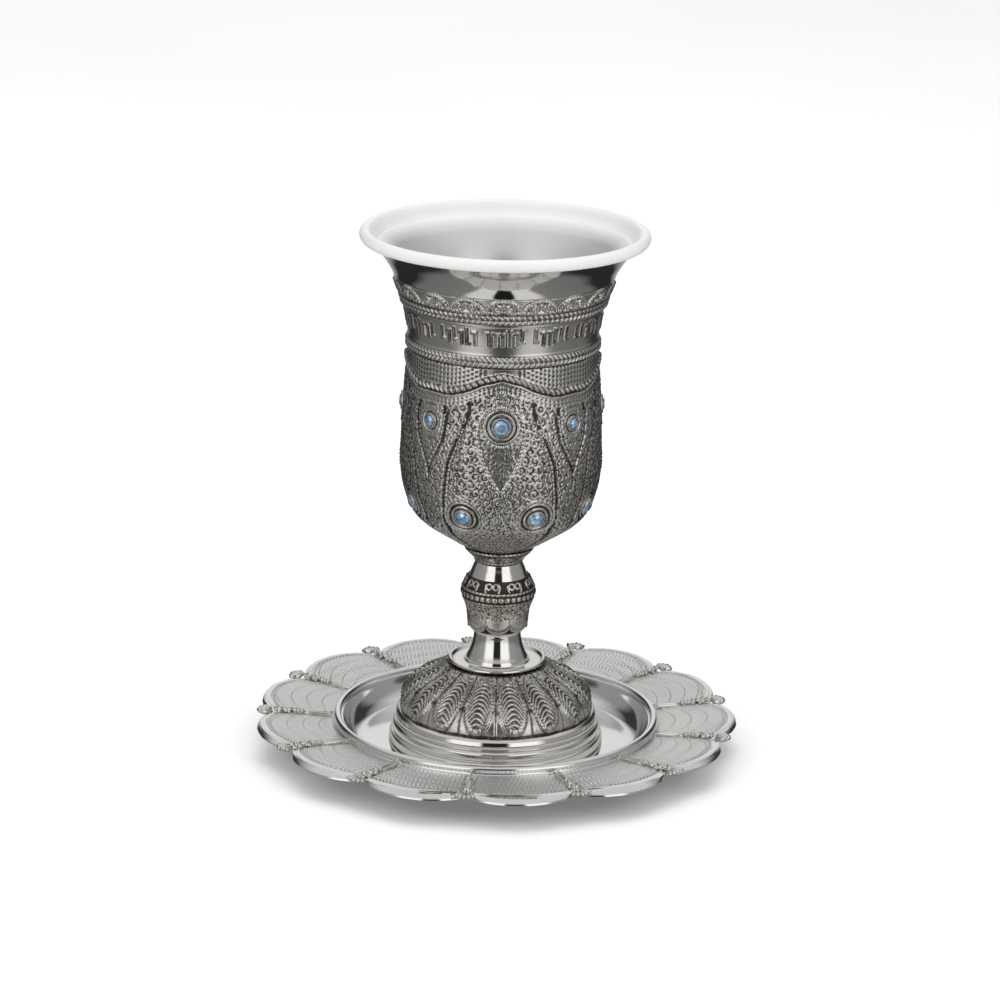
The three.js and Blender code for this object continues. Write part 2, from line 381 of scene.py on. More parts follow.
def sculpted(mesh: bpy.types.Mesh, profile: Profile, sculpt: Sculpt | None) -> None:
    """Lift the relief rows of a spun mesh along the profile's normal and store their shade.

    Args:
        mesh: The spun mesh, with its "row" attribute.
        profile: The profile it was spun from.
        sculpt: Gives the lift in millimetres and the shade from 0 to 1 of each relief vertex.
    """
    count = len(mesh.vertices)
    places = np.zeros(count * 3, np.float32)
    mesh.vertices.foreach_get("co", places)
    places = places.reshape(-1, 3).astype(float)
    rows = np.zeros(count, np.float32)
    mesh.attributes["row"].data.foreach_get("value", rows)
    rows = np.clip(np.rint(rows).astype(int), 0, len(profile.radius) - 1)
    radius, height = np.array(profile.radius), np.array(profile.height)
    along = np.r_[0.0, np.cumsum(np.hypot(np.diff(radius), np.diff(height)))]
    slope = np.gradient(radius), np.gradient(height)
    length = np.maximum(np.hypot(*slope), 1e-9)
    out_r, out_z = slope[1] / length, -slope[0] / length
    relief = np.array(profile.zone)[rows] == Zone.RELIEF.value
    shade = np.ones(count, np.float32)
    if sculpt is not None and relief.any():
        first = int(np.argmax(np.array(profile.zone) == Zone.RELIEF.value))
        from_first = along - along[first]
        kept = rows[relief]
        grid = Grid(
            angle=np.arctan2(places[relief, 1], places[relief, 0]),
            along=from_first[kept],
            radius=radius[kept],
            height=height[kept],
            row_along=from_first,
            row_radius=radius,
        )
        lift, tone = sculpt(grid)
        reach = (grid.radius + out_r[kept] * lift) * MM
        places[relief, 0] = np.cos(grid.angle) * reach
        places[relief, 1] = np.sin(grid.angle) * reach
        places[relief, 2] = (grid.height + out_z[kept] * lift) * MM
        shade[relief] = np.clip(tone, 0.0, 1.0)
        mesh.vertices.foreach_set("co", places.astype(np.float32).ravel())
    mesh.attributes.new("relief", "FLOAT", "POINT").data.foreach_set("value", shade)
    mesh.attributes.remove(mesh.attributes["row"])
    mesh.update()


def piece(
    name: str,
    mesh: bpy.types.Mesh,
    finish: bpy.types.Material,
    replaced: tuple[str, ...] = (),
) -> bpy.types.Object:
    """Make an object of a finished mesh and tell the frame about it.

    Args:
        name: The piece's name.
        mesh: Its mesh, in place.
        finish: Its material.
        replaced: The solids that it stands for.

    Returns:
        The new object.
    """
    made = bpy.data.objects.new(name, mesh)
    bpy.context.scene.collection.objects.link(made)
    mesh.materials.append(finish)
    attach(made, BODY)
    if replaced:
        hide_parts(*replaced)
    LOG.info("%s: %d faces", name, len(mesh.polygons))
    return made


def turned_piece(
    name: str,
    profile: Profile,
    steps: int,
    finish: bpy.types.Material,
    replaced: tuple[str, ...] = (),
    sculpt: Sculpt | None = None,
    closed: bool = True,
) -> bpy.types.Object:
    """Spin, sculpt and dress one turned piece.

    Args:
        name: The piece's name.
        profile: Its rows.
        steps: How many meridians.
        finish: Its material.
        replaced: The solids that it stands for.
        sculpt: Its relief, where it has one.
        closed: Whether the last row joins the first.

    Returns:
        The new object.
    """
    mesh = mesh_of(spun(profile, steps, closed), name)
    sculpted(mesh, profile, sculpt)
    return piece(name, mesh, finish, replaced)


def on_wall(radius: float, height: float, angle: float, tilt: float) -> Matrix:
    """Place of a thing made along local +Z, set on the wall and facing out.

    Args:
        radius: Wall radius in millimetres.
        height: Height in millimetres.
        angle: Angle round the cup in radians.
        tilt: How far it looks down, in degrees.

    Returns:
        The matrix, in metres.
    """
    turn = Matrix.Rotation(angle, 4, "Z")
    move = Matrix.Translation((radius * MM, 0.0, height * MM))
    face = Matrix.Rotation(math.pi / 2 + math.radians(tilt), 4, "Y")
    return turn @ move @ face


def add_ellipsoid(
    shape: bmesh.types.BMesh,
    centre: tuple[float, float, float],
    size: tuple[float, float, float],
    yaw: float = 0.0,
    segments: int = 8,
) -> None:
    """Add a small round lump.

    Args:
        shape: The bench mesh to add to.
        centre: Its centre in millimetres.
        size: Its three half sizes in millimetres.
        yaw: Turn about +Z in degrees.
        segments: Sides round the lump.
    """
    matrix = (
        Matrix.Translation(Vector(centre) * MM)
        @ Matrix.Rotation(math.radians(yaw), 4, "Z")
        @ Matrix.Diagonal((size[0] * MM, size[1] * MM, size[2] * MM, 1.0))
    )
    bmesh.ops.create_uvsphere(
        shape, u_segments=segments, v_segments=max(4, segments // 2 + 1), radius=1.0, matrix=matrix
    )


# ---- Shader groups -----------------------------------------------------------------------------------


class Nodes:
    """A small bench for wiring nodes in a material, a group or the world."""

    def __init__(self, tree: bpy.types.NodeTree) -> None:
        """Work on a node tree."""
        self.tree = tree

    def add(self, kind: str, **settings: object) -> bpy.types.Node:
        """Add a node and set its properties.

        Args:
            kind: The node's type.
            settings: Its properties by name.

        Returns:
            The new node.
        """
        node = self.tree.nodes.new(kind)
        for name, value in settings.items():
            setattr(node, name, value)
        return node

    def link(self, source: bpy.types.NodeSocket, target: bpy.types.NodeSocket) -> None:
        """Join two sockets.

        Args:
            source: The output.
            target: The input.
        """
        self.tree.links.new(source, target)

    def feed(self, node: bpy.types.Node, name: str | int, value: object) -> None:
        """Give an input a value or another node's output.

        Args:
            node: The node.
            name: The input's name or number.
            value: A value or an output.
        """
        socket = node.inputs[name]
        if isinstance(value, bpy.types.NodeSocket):
            self.link(value, socket)
        else:
            socket.default_value = value

    def maths(self, operation: str, *values: object) -> bpy.types.NodeSocket:
        """A Math node's result.

        Args:
            operation: What it does.
            values: Its inputs in order.

        Returns:
            Its output.
        """
        node = self.add("ShaderNodeMath", operation=operation)
        for place, value in enumerate(values):
            self.feed(node, place, value)
        return node.outputs[0]

    def spread(self, value: object, low: float, high: float, to_low: float, to_high: float):
        """A clamped Map Range's result.

        Args:
            value: What is mapped.
            low: Start of its range.
            high: End of its range.
            to_low: Result at the start.
            to_high: Result at the end.

        Returns:
            Its output.
        """
        node = self.add("ShaderNodeMapRange", clamp=True)
        for name, given in zip(
            ("Value", "From Min", "From Max", "To Min", "To Max"), (value, low, high, to_low, to_high)
        ):
            self.feed(node, name, given)
        return node.outputs["Result"]

    def blend(self, share: object, first: object, second: object) -> bpy.types.NodeSocket:
        """A colour between two colours.

        Args:
            share: How much of the second.
            first: The first colour.
            second: The second colour.

        Returns:
            The colour's output.
        """
        node = self.add("ShaderNodeMix", data_type="RGBA")
        self.feed(node, 0, share)
        self.feed(node, 6, first)
        self.feed(node, 7, second)
        return node.outputs[2]

    def noise(self, where: object, scale: float, detail: float = 2.0) -> bpy.types.NodeSocket:
        """A noise value from about 0.3 to 0.7.

        Args:
            where: Coordinates.
            scale: How fine it is.
            detail: How many octaves.

        Returns:
            Its output.
        """
        node = self.add("ShaderNodeTexNoise")
        self.feed(node, "Vector", where)
        self.feed(node, "Scale", scale)
        self.feed(node, "Detail", detail)
        return node.outputs["Fac"]

    def attribute(self, name: str) -> bpy.types.NodeSocket:
        """A float attribute of the mesh.

        Args:
            name: The attribute's name.

        Returns:
            Its output.
        """
        return self.add("ShaderNodeAttribute", attribute_name=name).outputs["Fac"]

    def place(self) -> bpy.types.NodeSocket:
        """Object coordinates, in metres.

        Returns:
            Their output.
        """
        return self.add("ShaderNodeTexCoord").outputs["Object"]

    def bump(self, height: object, distance: float, strength: float = 1.0) -> bpy.types.NodeSocket:
        """A bumped normal.

        Args:
            height: The height.
            distance: Metres at height 1.
            strength: Its strength.

        Returns:
            The normal's output.
        """
        node = self.add("ShaderNodeBump")
        self.feed(node, "Height", height)
        self.feed(node, "Distance", distance)
        self.feed(node, "Strength", strength)
        return node.outputs["Normal"]

    def group(self, tree: bpy.types.NodeTree, **values: object) -> bpy.types.Node:
        """Place a node group with its own values.

        Args:
            tree: The group.
            values: Its inputs, with _ for a space.

        Returns:
            The group's node.
        """
        node = self.add("ShaderNodeGroup", node_tree=tree)
        for name, value in values.items():
            self.feed(node, name.replace("_", " "), value)
        return node


def new_group(name: str, inputs: dict[str, str], outputs: dict[str, str]) -> tuple:
    """Start a shader node group.

    Args:
        name: The group's name.
        inputs: Each input's socket type by name.
        outputs: Each output's socket type by name.

    Returns:
        The bench, the group's input node and its output node.
    """
    tree = bpy.data.node_groups.new(name, "ShaderNodeTree")
    for label, kind in inputs.items():
        tree.interface.new_socket(name=label, in_out="INPUT", socket_type=kind)
    for label, kind in outputs.items():
        tree.interface.new_socket(name=label, in_out="OUTPUT", socket_type=kind)
    bench = Nodes(tree)
    return bench, bench.add("NodeGroupInput"), bench.add("NodeGroupOutput")


def tarnish_group() -> bpy.types.NodeTree:
    """Dark in the recesses and worn bright on the wires, with a little mottling."""
    number, colour, vector = "NodeSocketFloat", "NodeSocketColor", "NodeSocketVector"
    bench, given, made = new_group(
        "tarnish",
        {"Relief": number, "Place": vector, "Bright": colour, "Dark": colour, "Worn": number},
        {"Color": colour, "Roughness": number},
    )
    mottle = bench.spread(bench.noise(given.outputs["Place"], 900.0, 3.0), 0.3, 0.7, -0.12, 0.12)
    cloud = bench.spread(bench.noise(given.outputs["Place"], 90.0, 2.0), 0.3, 0.7, -0.08, 0.08)
    height = bench.maths("ADD", given.outputs["Relief"], bench.maths("ADD", mottle, cloud))
    start = bench.maths("SUBTRACT", 0.42, given.outputs["Worn"])
    share = bench.maths("DIVIDE", bench.maths("SUBTRACT", height, start), 0.4)
    share = bench.spread(share, 0.0, 1.0, 0.0, 1.0)
    bench.link(
        bench.blend(share, given.outputs["Dark"], given.outputs["Bright"]), made.inputs["Color"]
    )
    bench.link(bench.spread(share, 0.0, 1.0, 0.55, 0.24), made.inputs["Roughness"])
    return bench.tree


def smudge_group() -> bpy.types.NodeTree:
    """Uneven gloss and a faint change of tone, as handled metal and plastic have."""
    number, colour, vector = "NodeSocketFloat", "NodeSocketColor", "NodeSocketVector"
    bench, given, made = new_group(
        "smudges",
        {"Place": vector, "Base": colour, "Shift": number, "Gloss": number, "Uneven": number},
        {"Color": colour, "Roughness": number},
    )
    cloud = bench.spread(bench.noise(given.outputs["Place"], 60.0, 3.0), 0.3, 0.7, -1.0, 1.0)
    fine = bench.spread(bench.noise(given.outputs["Place"], 700.0, 2.0), 0.3, 0.7, -1.0, 1.0)
    both = bench.maths("ADD", cloud, bench.maths("MULTIPLY", fine, 0.4))
    value = bench.maths("ADD", 1.0, bench.maths("MULTIPLY", both, given.outputs["Shift"]))
    tone = bench.add("ShaderNodeHueSaturation")
    bench.link(given.outputs["Base"], tone.inputs["Color"])
    bench.link(value, tone.inputs["Value"])
    bench.link(tone.outputs["Color"], made.inputs["Color"])
    rough = bench.maths(
        "ADD", given.outputs["Gloss"], bench.maths("MULTIPLY", both, given.outputs["Uneven"])
    )
    bench.link(bench.maths("MAXIMUM", rough, 0.02), made.inputs["Roughness"])
    return bench.tree


# ---- Finishes ----------------------------------------------------------------------------------------

Colour = tuple[float, float, float, float]


def shader(name: str) -> tuple[Nodes, bpy.types.Node]:
    """A new material's bench and its Principled shader.

    Args:
        name: The material's name.

    Returns:
        The bench and the shader node.
    """
    material = bpy.data.materials.new(name)
    material.use_nodes = True
    bench = Nodes(material.node_tree)
    return bench, material.node_tree.nodes["Principled BSDF"]


@dataclass(frozen=True)
class AntiqueSilver:
    """Blackened filigree, wiped bright on top."""

    bright: Colour = (0.70, 0.68, 0.645, 1.0)
    dark: Colour = (0.085, 0.073, 0.06, 1.0)
    worn: float = 0.12

    def made(self, name: str, tarnish: bpy.types.NodeTree) -> bpy.types.Material:
        """The material.

        Args:
            name: Its name.
            tarnish: The shared tarnish group.

        Returns:
            The new material.
        """
        bench, principled = shader(name)
        where = bench.place()
        worn = bench.group(
            tarnish,
            Relief=bench.attribute("relief"),
            Place=where,
            Bright=self.bright,
            Dark=self.dark,
            Worn=self.worn,
        )
        bench.link(worn.outputs["Color"], principled.inputs["Base Color"])
        bench.link(worn.outputs["Roughness"], principled.inputs["Roughness"])
        principled.inputs["Metallic"].default_value = 1.0
        bench.link(bench.bump(bench.noise(where, 2200.0), 0.00006, 0.5), principled.inputs["Normal"])
        return bpy.data.materials[name]


@dataclass(frozen=True)
class PolishedNickel:
    """Mirror metal with faint handling marks."""

    base: Colour = (0.80, 0.785, 0.76, 1.0)
    gloss: float = 0.07
    uneven: float = 0.025

    def made(self, name: str, smudges: bpy.types.NodeTree) -> bpy.types.Material:
        """The material.

        Args:
            name: Its name.
            smudges: The shared smudges group.

        Returns:
            The new material.
        """
        bench, principled = shader(name)
        marks = bench.group(
            smudges,
            Place=bench.place(),
            Base=self.base,
            Shift=0.03,
            Gloss=self.gloss,
            Uneven=self.uneven,
        )
        bench.link(marks.outputs["Color"], principled.inputs["Base Color"])
        bench.link(marks.outputs["Roughness"], principled.inputs["Roughness"])
        principled.inputs["Metallic"].default_value = 1.0
        return bpy.data.materials[name]


@dataclass(frozen=True)
class SatinNickel:
    """Satin petals with engraved wavy lines, and polish where the "polish" attribute is 1."""

    base: Colour = (0.86, 0.86, 0.85, 1.0)
    line_pitch: float = 1.25
    arc_pitch: float = 4.6
    cut: float = 0.00012

    def made(self, name: str, smudges: bpy.types.NodeTree) -> bpy.types.Material:
        """The material.

        Args:
            name: Its name.
            smudges: The shared smudges group.

        Returns:
            The new material.
        """
        bench, principled = shader(name)
        across, outward = bench.attribute("across"), bench.attribute("outward")
        polish = bench.attribute("polish")
        wander = bench.maths("SINE", bench.maths("MULTIPLY", outward, TAU / self.arc_pitch))
        straight = bench.maths("DIVIDE", across, self.line_pitch)
        lean = bench.maths("ADD", straight, bench.maths("MULTIPLY", wander, 0.32))
        lines = bench.maths("PINGPONG", lean, 0.5)
        bow = bench.maths("MULTIPLY", bench.maths("MULTIPLY", across, across), 0.035)
        arcs = bench.maths("DIVIDE", bench.maths("ADD", outward, bow), self.arc_pitch)
        arc_line = bench.spread(bench.maths("PINGPONG", arcs, 0.5), 0.0, 0.05, 0.0, 1.0)
        cut = bench.maths("MULTIPLY", bench.spread(lines, 0.0, 0.3, 0.0, 1.0), arc_line)
        satin = bench.maths("SUBTRACT", 1.0, polish)
        grained = bench.maths("ADD", cut, bench.noise(bench.place(), 1500.0))
        height = bench.maths("MULTIPLY", grained, satin)
        bench.link(bench.bump(height, self.cut), principled.inputs["Normal"])
        marks = bench.group(
            smudges, Place=bench.place(), Base=self.base, Shift=0.04, Gloss=0.0, Uneven=0.02
        )
        engraved = bench.maths("MULTIPLY", satin, bench.spread(cut, 0.0, 1.0, 0.22, 0.0))
        tone = bench.blend(engraved, marks.outputs["Color"], (0.30, 0.30, 0.30, 1.0))
        bench.link(tone, principled.inputs["Base Color"])
        gloss = bench.spread(polish, 0.0, 1.0, 0.33, 0.07)
        rough = bench.maths("ADD", gloss, marks.outputs["Roughness"])
        bench.link(rough, principled.inputs["Roughness"])
        principled.inputs["Metallic"].default_value = 1.0
        return bpy.data.materials[name]


@dataclass(frozen=True)
class LinerPlastic:
    """Milky moulded plastic; its thin wall lets the silver behind it show."""

    base: Colour = (0.66, 0.675, 0.655, 1.0)
    wall_top: float = 0.1455
    show_through: float = 0.6

    def made(self, name: str, smudges: bpy.types.NodeTree) -> bpy.types.Material:
        """The material.

        Args:
            name: Its name.
            smudges: The shared smudges group.

        Returns:
            The new material.
        """
        bench, principled = shader(name)
        where = bench.place()
        marks = bench.group(
            smudges, Place=where, Base=self.base, Shift=0.02, Gloss=0.34, Uneven=0.04
        )
        bench.link(marks.outputs["Color"], principled.inputs["Base Color"])
        bench.link(marks.outputs["Roughness"], principled.inputs["Roughness"])
        split = bench.add("ShaderNodeSeparateXYZ")
        bench.link(where, split.inputs[0])
        wall = bench.spread(
            split.outputs[2], self.wall_top - 0.003, self.wall_top, self.show_through, 0.0
        )
        bench.link(wall, principled.inputs["Metallic"])
        principled.inputs["Coat Weight"].default_value = 0.25
        principled.inputs["Coat Roughness"].default_value = 0.2
        bench.link(bench.bump(bench.noise(where, 1200.0), 0.00002), principled.inputs["Normal"])
        return bpy.data.materials[name]


@dataclass(frozen=True)
class BlueStone:
    """Foil-backed pale blue glass, cut in facets."""

    light: Colour = (0.50, 0.72, 0.95, 1.0)
    deep: Colour = (0.16, 0.33, 0.60, 1.0)

    def made(self, name: str) -> bpy.types.Material:
        """The material."""
        bench, principled = shader(name)
        cloud = bench.spread(bench.noise(bench.place(), 420.0, 1.0), 0.35, 0.65, 0.0, 1.0)
        bench.link(bench.blend(cloud, self.deep, self.light), principled.inputs["Base Color"])
        rough = bench.spread(cloud, 0.0, 1.0, 0.03, 0.07)
        bench.link(rough, principled.inputs["Roughness"])
        principled.inputs["Metallic"].default_value = 0.75
        principled.inputs["Coat Weight"].default_value = 1.0
        principled.inputs["Coat Roughness"].default_value = 0.02
        return bpy.data.materials[name]


@dataclass
class Finishes:
    """Every finish of the cup, made once."""

    antique: bpy.types.Material
    knop: bpy.types.Material
    polished: bpy.types.Material
    satin: bpy.types.Material
    liner: bpy.types.Material
    stone: bpy.types.Material


def make_finishes() -> Finishes:
    """Make the shared groups and the materials that use them."""
    tarnish, smudges = tarnish_group(), smudge_group()
    return Finishes(
        antique=AntiqueSilver().made("antique_silver", tarnish),
        knop=AntiqueSilver(bright=(0.74, 0.70, 0.645, 1.0), worn=0.06).made("antique_knop", tarnish),
        polished=PolishedNickel().made("polished_nickel", smudges),
        satin=SatinNickel().made("satin_nickel", smudges),
        liner=LinerPlastic().made("milky_plastic", smudges),
        stone=BlueStone().made("blue_glass"),
    )


# ---- Studio ------------------------------------------------------------------------------------------


@dataclass
class Studio:
    """Camera, light and floor."""

    distance: float = 1.029
    rise: float = 0.3792
    pitch: float = 16.60
    roll: float = 1.14
    lens: float = 138.6
    floor_size: float = 4.0

    def build(self) -> None:
        """Make the camera, the world, the lights and the floor."""
        bpy.context.scene.view_settings.view_transform = "Standard"
        self._camera()
        self._world()
        self._lights()
        self._floor()

    def _camera(self) -> None:
        """A long lens a metre in front, looking down on the rim."""
        data = bpy.data.cameras.new("camera")
        data.lens = self.lens
        data.sensor_width = 36.0
        data.clip_end = 20.0
        camera = bpy.data.objects.new("camera", data)
        bpy.context.scene.collection.objects.link(camera)
        camera.matrix_world = (
            Matrix.Translation((0.0, -self.distance, self.rise))
            @ Matrix.Rotation(math.radians(90.0 - self.pitch), 4, "X")
            @ Matrix.Rotation(math.radians(self.roll), 4, "Z")
        )
        bpy.context.scene.camera = camera

    def _world(self) -> None:
        """White to the eye; to the metal, a studio with bright panels and dark gaps."""
        world = bpy.data.worlds.new("studio")
        bpy.context.scene.world = world
        world.use_nodes = True
        world.node_tree.nodes.clear()
        bench = Nodes(world.node_tree)
        split = bench.add("ShaderNodeSeparateXYZ")
        bench.link(bench.add("ShaderNodeTexCoord").outputs["Generated"], split.inputs[0])
        x, y, z = split.outputs
        side = bench.maths("ABSOLUTE", bench.maths("ARCTAN2", x, bench.maths("MULTIPLY", y, -1.0)))
        ramp = bench.add("ShaderNodeValToRGB")
        bench.link(bench.maths("DIVIDE", side, math.pi), ramp.inputs[0])
        # Share of the way round from the camera's side to the back, and how bright it is there.
        tones = (
            (0.0, 0.02),
            (0.075, 0.02),
            (0.10, 1.15),
            (0.27, 1.15),
            (0.33, 0.34),
            (0.66, 0.26),
            (0.73, 0.04),
            (0.86, 0.04),
            (0.93, 0.70),
            (1.0, 0.80),
        )
        stops = ramp.color_ramp.elements
        stops[0].position, stops[1].position = tones[0][0], tones[-1][0]
        for place, _ in tones[1:-1]:
            stops.new(place)
        for stop, (_, tone) in zip(stops, tones):
            stop.color = (tone, tone, tone, 1.0)
        overhead = bench.spread(z, 0.45, 0.75, 0.0, 1.0)
        below = bench.spread(z, -0.12, 0.0, 0.62, 1.0)
        studio = bench.blend(overhead, ramp.outputs["Color"], (0.62, 0.62, 0.62, 1.0))
        seen = bench.add("ShaderNodeBackground")
        bench.feed(seen, "Color", (1.0, 1.0, 1.0, 1.0))
        bench.feed(seen, "Strength", 1.0)
        shining = bench.add("ShaderNodeBackground")
        bench.feed(shining, "Color", studio)
        bench.feed(shining, "Strength", below)
        choice = bench.add("ShaderNodeMixShader")
        path = bench.add("ShaderNodeLightPath")
        plain = bench.maths("MAXIMUM", path.outputs["Is Camera Ray"], path.outputs["Is Diffuse Ray"])
        bench.link(plain, choice.inputs[0])
        bench.link(shining.outputs[0], choice.inputs[1])
        bench.link(seen.outputs[0], choice.inputs[2])
        bench.link(choice.outputs[0], bench.add("ShaderNodeOutputWorld").inputs[0])

    def _lights(self) -> None:
        """Two soft side panels and one above, to light the floor and the liner."""
        for name, place, size, power in (
            ("panel_left", (-0.9, -0.7, 0.7), 0.7, 3.0),
            ("panel_right", (0.9, -0.7, 0.7), 0.7, 3.0),
            ("panel_top", (0.0, 0.1, 1.4), 1.2, 6.0),
        ):
            data = bpy.data.lights.new(name, "AREA")
            data.size = size
            data.energy = power
            light = bpy.data.objects.new(name, data)
            bpy.context.scene.collection.objects.link(light)
            light.visible_glossy = False
            aim = Vector((0.0, 0.0, 0.07)) - Vector(place)
            light.matrix_world = (
                Matrix.Translation(place) @ aim.to_track_quat("-Z", "Y").to_matrix().to_4x4()
            )

    @staticmethod
    def _card(
        name: str, scale: float, darkest: float, palest: float, roughness: float
    ) -> bpy.types.Material:
        """A neutral card with faint clouds.

        Args:
            name: The material's name.
            scale: How fine the clouds are.
            darkest: Its darkest tone.
            palest: Its palest tone.
            roughness: Its roughness.

        Returns:
            The new material.
        """
        bench, principled = shader(name)
        cloud = bench.spread(bench.noise(bench.place(), scale), 0.3, 0.7, darkest, palest)
        tint = bench.add("ShaderNodeCombineColor")
        for socket in tint.inputs[:3]:
            bench.link(cloud, socket)
        bench.link(tint.outputs[0], principled.inputs["Base Color"])
        principled.inputs["Roughness"].default_value = roughness
        return bpy.data.materials[name]

    def _floor(self) -> None:
        """A pale floor, and a dark strip on it that only the metal sees."""
        shape = bmesh.new()
        bmesh.ops.create_grid(shape, x_segments=1, y_segments=1, size=self.floor_size / 2)
        floor = bpy.data.objects.new("floor", mesh_of(shape, "floor"))
        bpy.context.scene.collection.objects.link(floor)
        floor.data.materials.append(self._card("pale_floor", 3.0, 0.88, 0.92, 0.7))
        floor.visible_glossy = False
        strip_shape = bmesh.new()
        bmesh.ops.create_grid(strip_shape, x_segments=1, y_segments=1, size=0.5)
        bmesh.ops.scale(strip_shape, vec=(0.17, 0.62, 1.0), verts=strip_shape.verts)
        bmesh.ops.translate(strip_shape, vec=(0.0, -0.43, 0.0005), verts=strip_shape.verts)
        strip = bpy.data.objects.new("dark_strip", mesh_of(strip_shape, "dark_strip"))
        bpy.context.scene.collection.objects.link(strip)
        strip.data.materials.append(self._card("dark_card", 8.0, 0.02, 0.03, 0.5))
        strip.visible_camera = False
        strip.visible_diffuse = False
        strip.visible_shadow = False


# ---- Saucer ------------------------------------------------------------------------------------------


@dataclass
class Saucer:
    """A mirror well with a bead round it, and thirteen satin petals with a spine between each two."""

    petals: int = 13
    steps_per_petal: int = 56
    first_spine: float = math.radians(-96.9)
    lobe_radius: float = 68.2
    notch_radius: float = 63.0
    petal_inner: float = 46.2
    petal_inner_top: float = 7.9
    valley_end: float = 8.6
    dome: float = 1.3
    crest_inset: float = 1.3
    edge_bottom: float = 8.0
    sheet: float = 1.0

    def build(self, finishes: Finishes) -> None:
        """Make the plate and its spines."""
        self._plate(finishes.satin)
        self._spines(finishes.polished)

    def _edge(self, share: Array) -> Array:
        """Outline radius at a place across a petal, 0 on one spine and 1 on the next."""
        across = np.abs(2 * share - 1)
        return self.notch_radius + (self.lobe_radius - self.notch_radius) * (1 - across**2.2)

    def _top(self, out: Array, share: Array) -> Array:
        """Height of the sheet's top at a share of the way out, at a place across a petal."""
        across = 1 - np.abs(2 * share - 1) ** 2.6
        slope = self.petal_inner_top + (self.valley_end - self.petal_inner_top) * out
        return slope + self.dome * across * np.sin(math.pi / 2 * np.minimum(1.0, out * 1.1))

    def _plate(self, satin: bpy.types.Material) -> None:
        """One turned sheet whose outer rows are pulled to the petals' outline."""
        flat_rows_under = [(0.0, 1.0), (32.2, 1.0), (32.2, 0.02), (34.0, 0.02), (37.6, 1.2)]
        profile = Profile().run(flat_rows_under, 12.0)
        profile.run([(37.6, 1.2), (41.6, 3.6), (44.0, 6.7)], 1.0, smooth=True)
        under_start = len(profile.radius)
        profile.run([(48.0, 7.0), (66.0, 7.0)], 3.0)
        edge_start = len(profile.radius)
        for radius in (67.0, 67.6, 68.0, 68.2, 68.15, 67.9, 67.4):
            profile.run([(radius, 8.0), (radius, 8.0 + 0.001 * radius)], 3.0)
        top_start = len(profile.radius)
        profile.run([(66.9, 9.9), (self.petal_inner, self.petal_inner_top)], 0.42)
        top_end = len(profile.radius)
        # The bead round the well, with a dark line on either side, then the wall down to the floor.
        profile.run([(46.0, 7.75), (45.75, 8.1)], 0.3)
        bead = [
            (44.8 + 1.05 * math.cos(math.radians(a)), 9.05 + 1.05 * math.sin(math.radians(a)))
            for a in range(-20, 200, 15)
        ]
        profile.run(bead, 0.4)
        profile.run([(43.65, 8.75), (43.3, 8.85), (43.1, 8.4)], 0.3)
        profile.run([(43.1, 8.4), (42.2, 5.9), (40.6, 3.7), (38.6, 2.5), (36.2, 2.2)], 0.8, smooth=True)
        profile.run([(36.2, 2.2), (31.5, 2.2), (0.0, 2.2)], 8.0)
        steps = self.petals * self.steps_per_petal
        mesh = mesh_of(spun(profile, steps, closed=False), "saucer_plate")
        self._pull_petals(mesh, profile, (under_start, edge_start, top_start, top_end))
        piece("saucer_plate", mesh, satin, ("saucer",))

    def _pull_petals(
        self, mesh: bpy.types.Mesh, profile: Profile, marks: tuple[int, int, int, int]
    ) -> None:
        """Shape the petals and store where the engraving and the polish go.

        Args:
            mesh: The spun plate.
            profile: Its profile.
            marks: The rows where the petals' underside, edge, top and bead start.
        """
        under, edge_row, top_row, top_end = marks
        count = len(mesh.vertices)
        places = np.zeros(count * 3, np.float32)
        mesh.vertices.foreach_get("co", places)
        places = places.reshape(-1, 3).astype(float)
        rows = np.zeros(count, np.float32)
        mesh.attributes["row"].data.foreach_get("value", rows)
        rows = np.rint(rows).astype(int)
        angle = np.arctan2(places[:, 1], places[:, 0])
        turn = (angle - self.first_spine) / TAU * self.petals
        share = turn - np.floor(turn)
        edge = self._edge(share)
        base = np.array(profile.radius)[np.clip(rows, 0, len(profile.radius) - 1)]
        radius, height = base.copy(), np.array(profile.height)[rows]
        # Top: rows spread evenly from the ring to the crest.
        on_top = (rows >= top_row) & (rows < top_end)
        out = (base - self.petal_inner) / (66.9 - self.petal_inner)
        crest = edge - self.crest_inset
        radius[on_top] = (self.petal_inner + out * (crest - self.petal_inner))[on_top]
        inset = edge - radius
        top = self._top((radius - self.petal_inner) / (edge - self.petal_inner), share)
        border = -0.45 * groove(inset - 3.0, 0.55) + 0.12 * groove(inset - 1.9, 0.6)
        spine_side = np.abs(share - 0.5) * 2 * (math.pi / self.petals) * radius
        from_spine = math.pi / self.petals * radius - spine_side
        dip = -0.35 * groove(from_spine - 1.5, 0.6)
        height[on_top] = (top + border + dip * (inset > 3.0))[on_top]
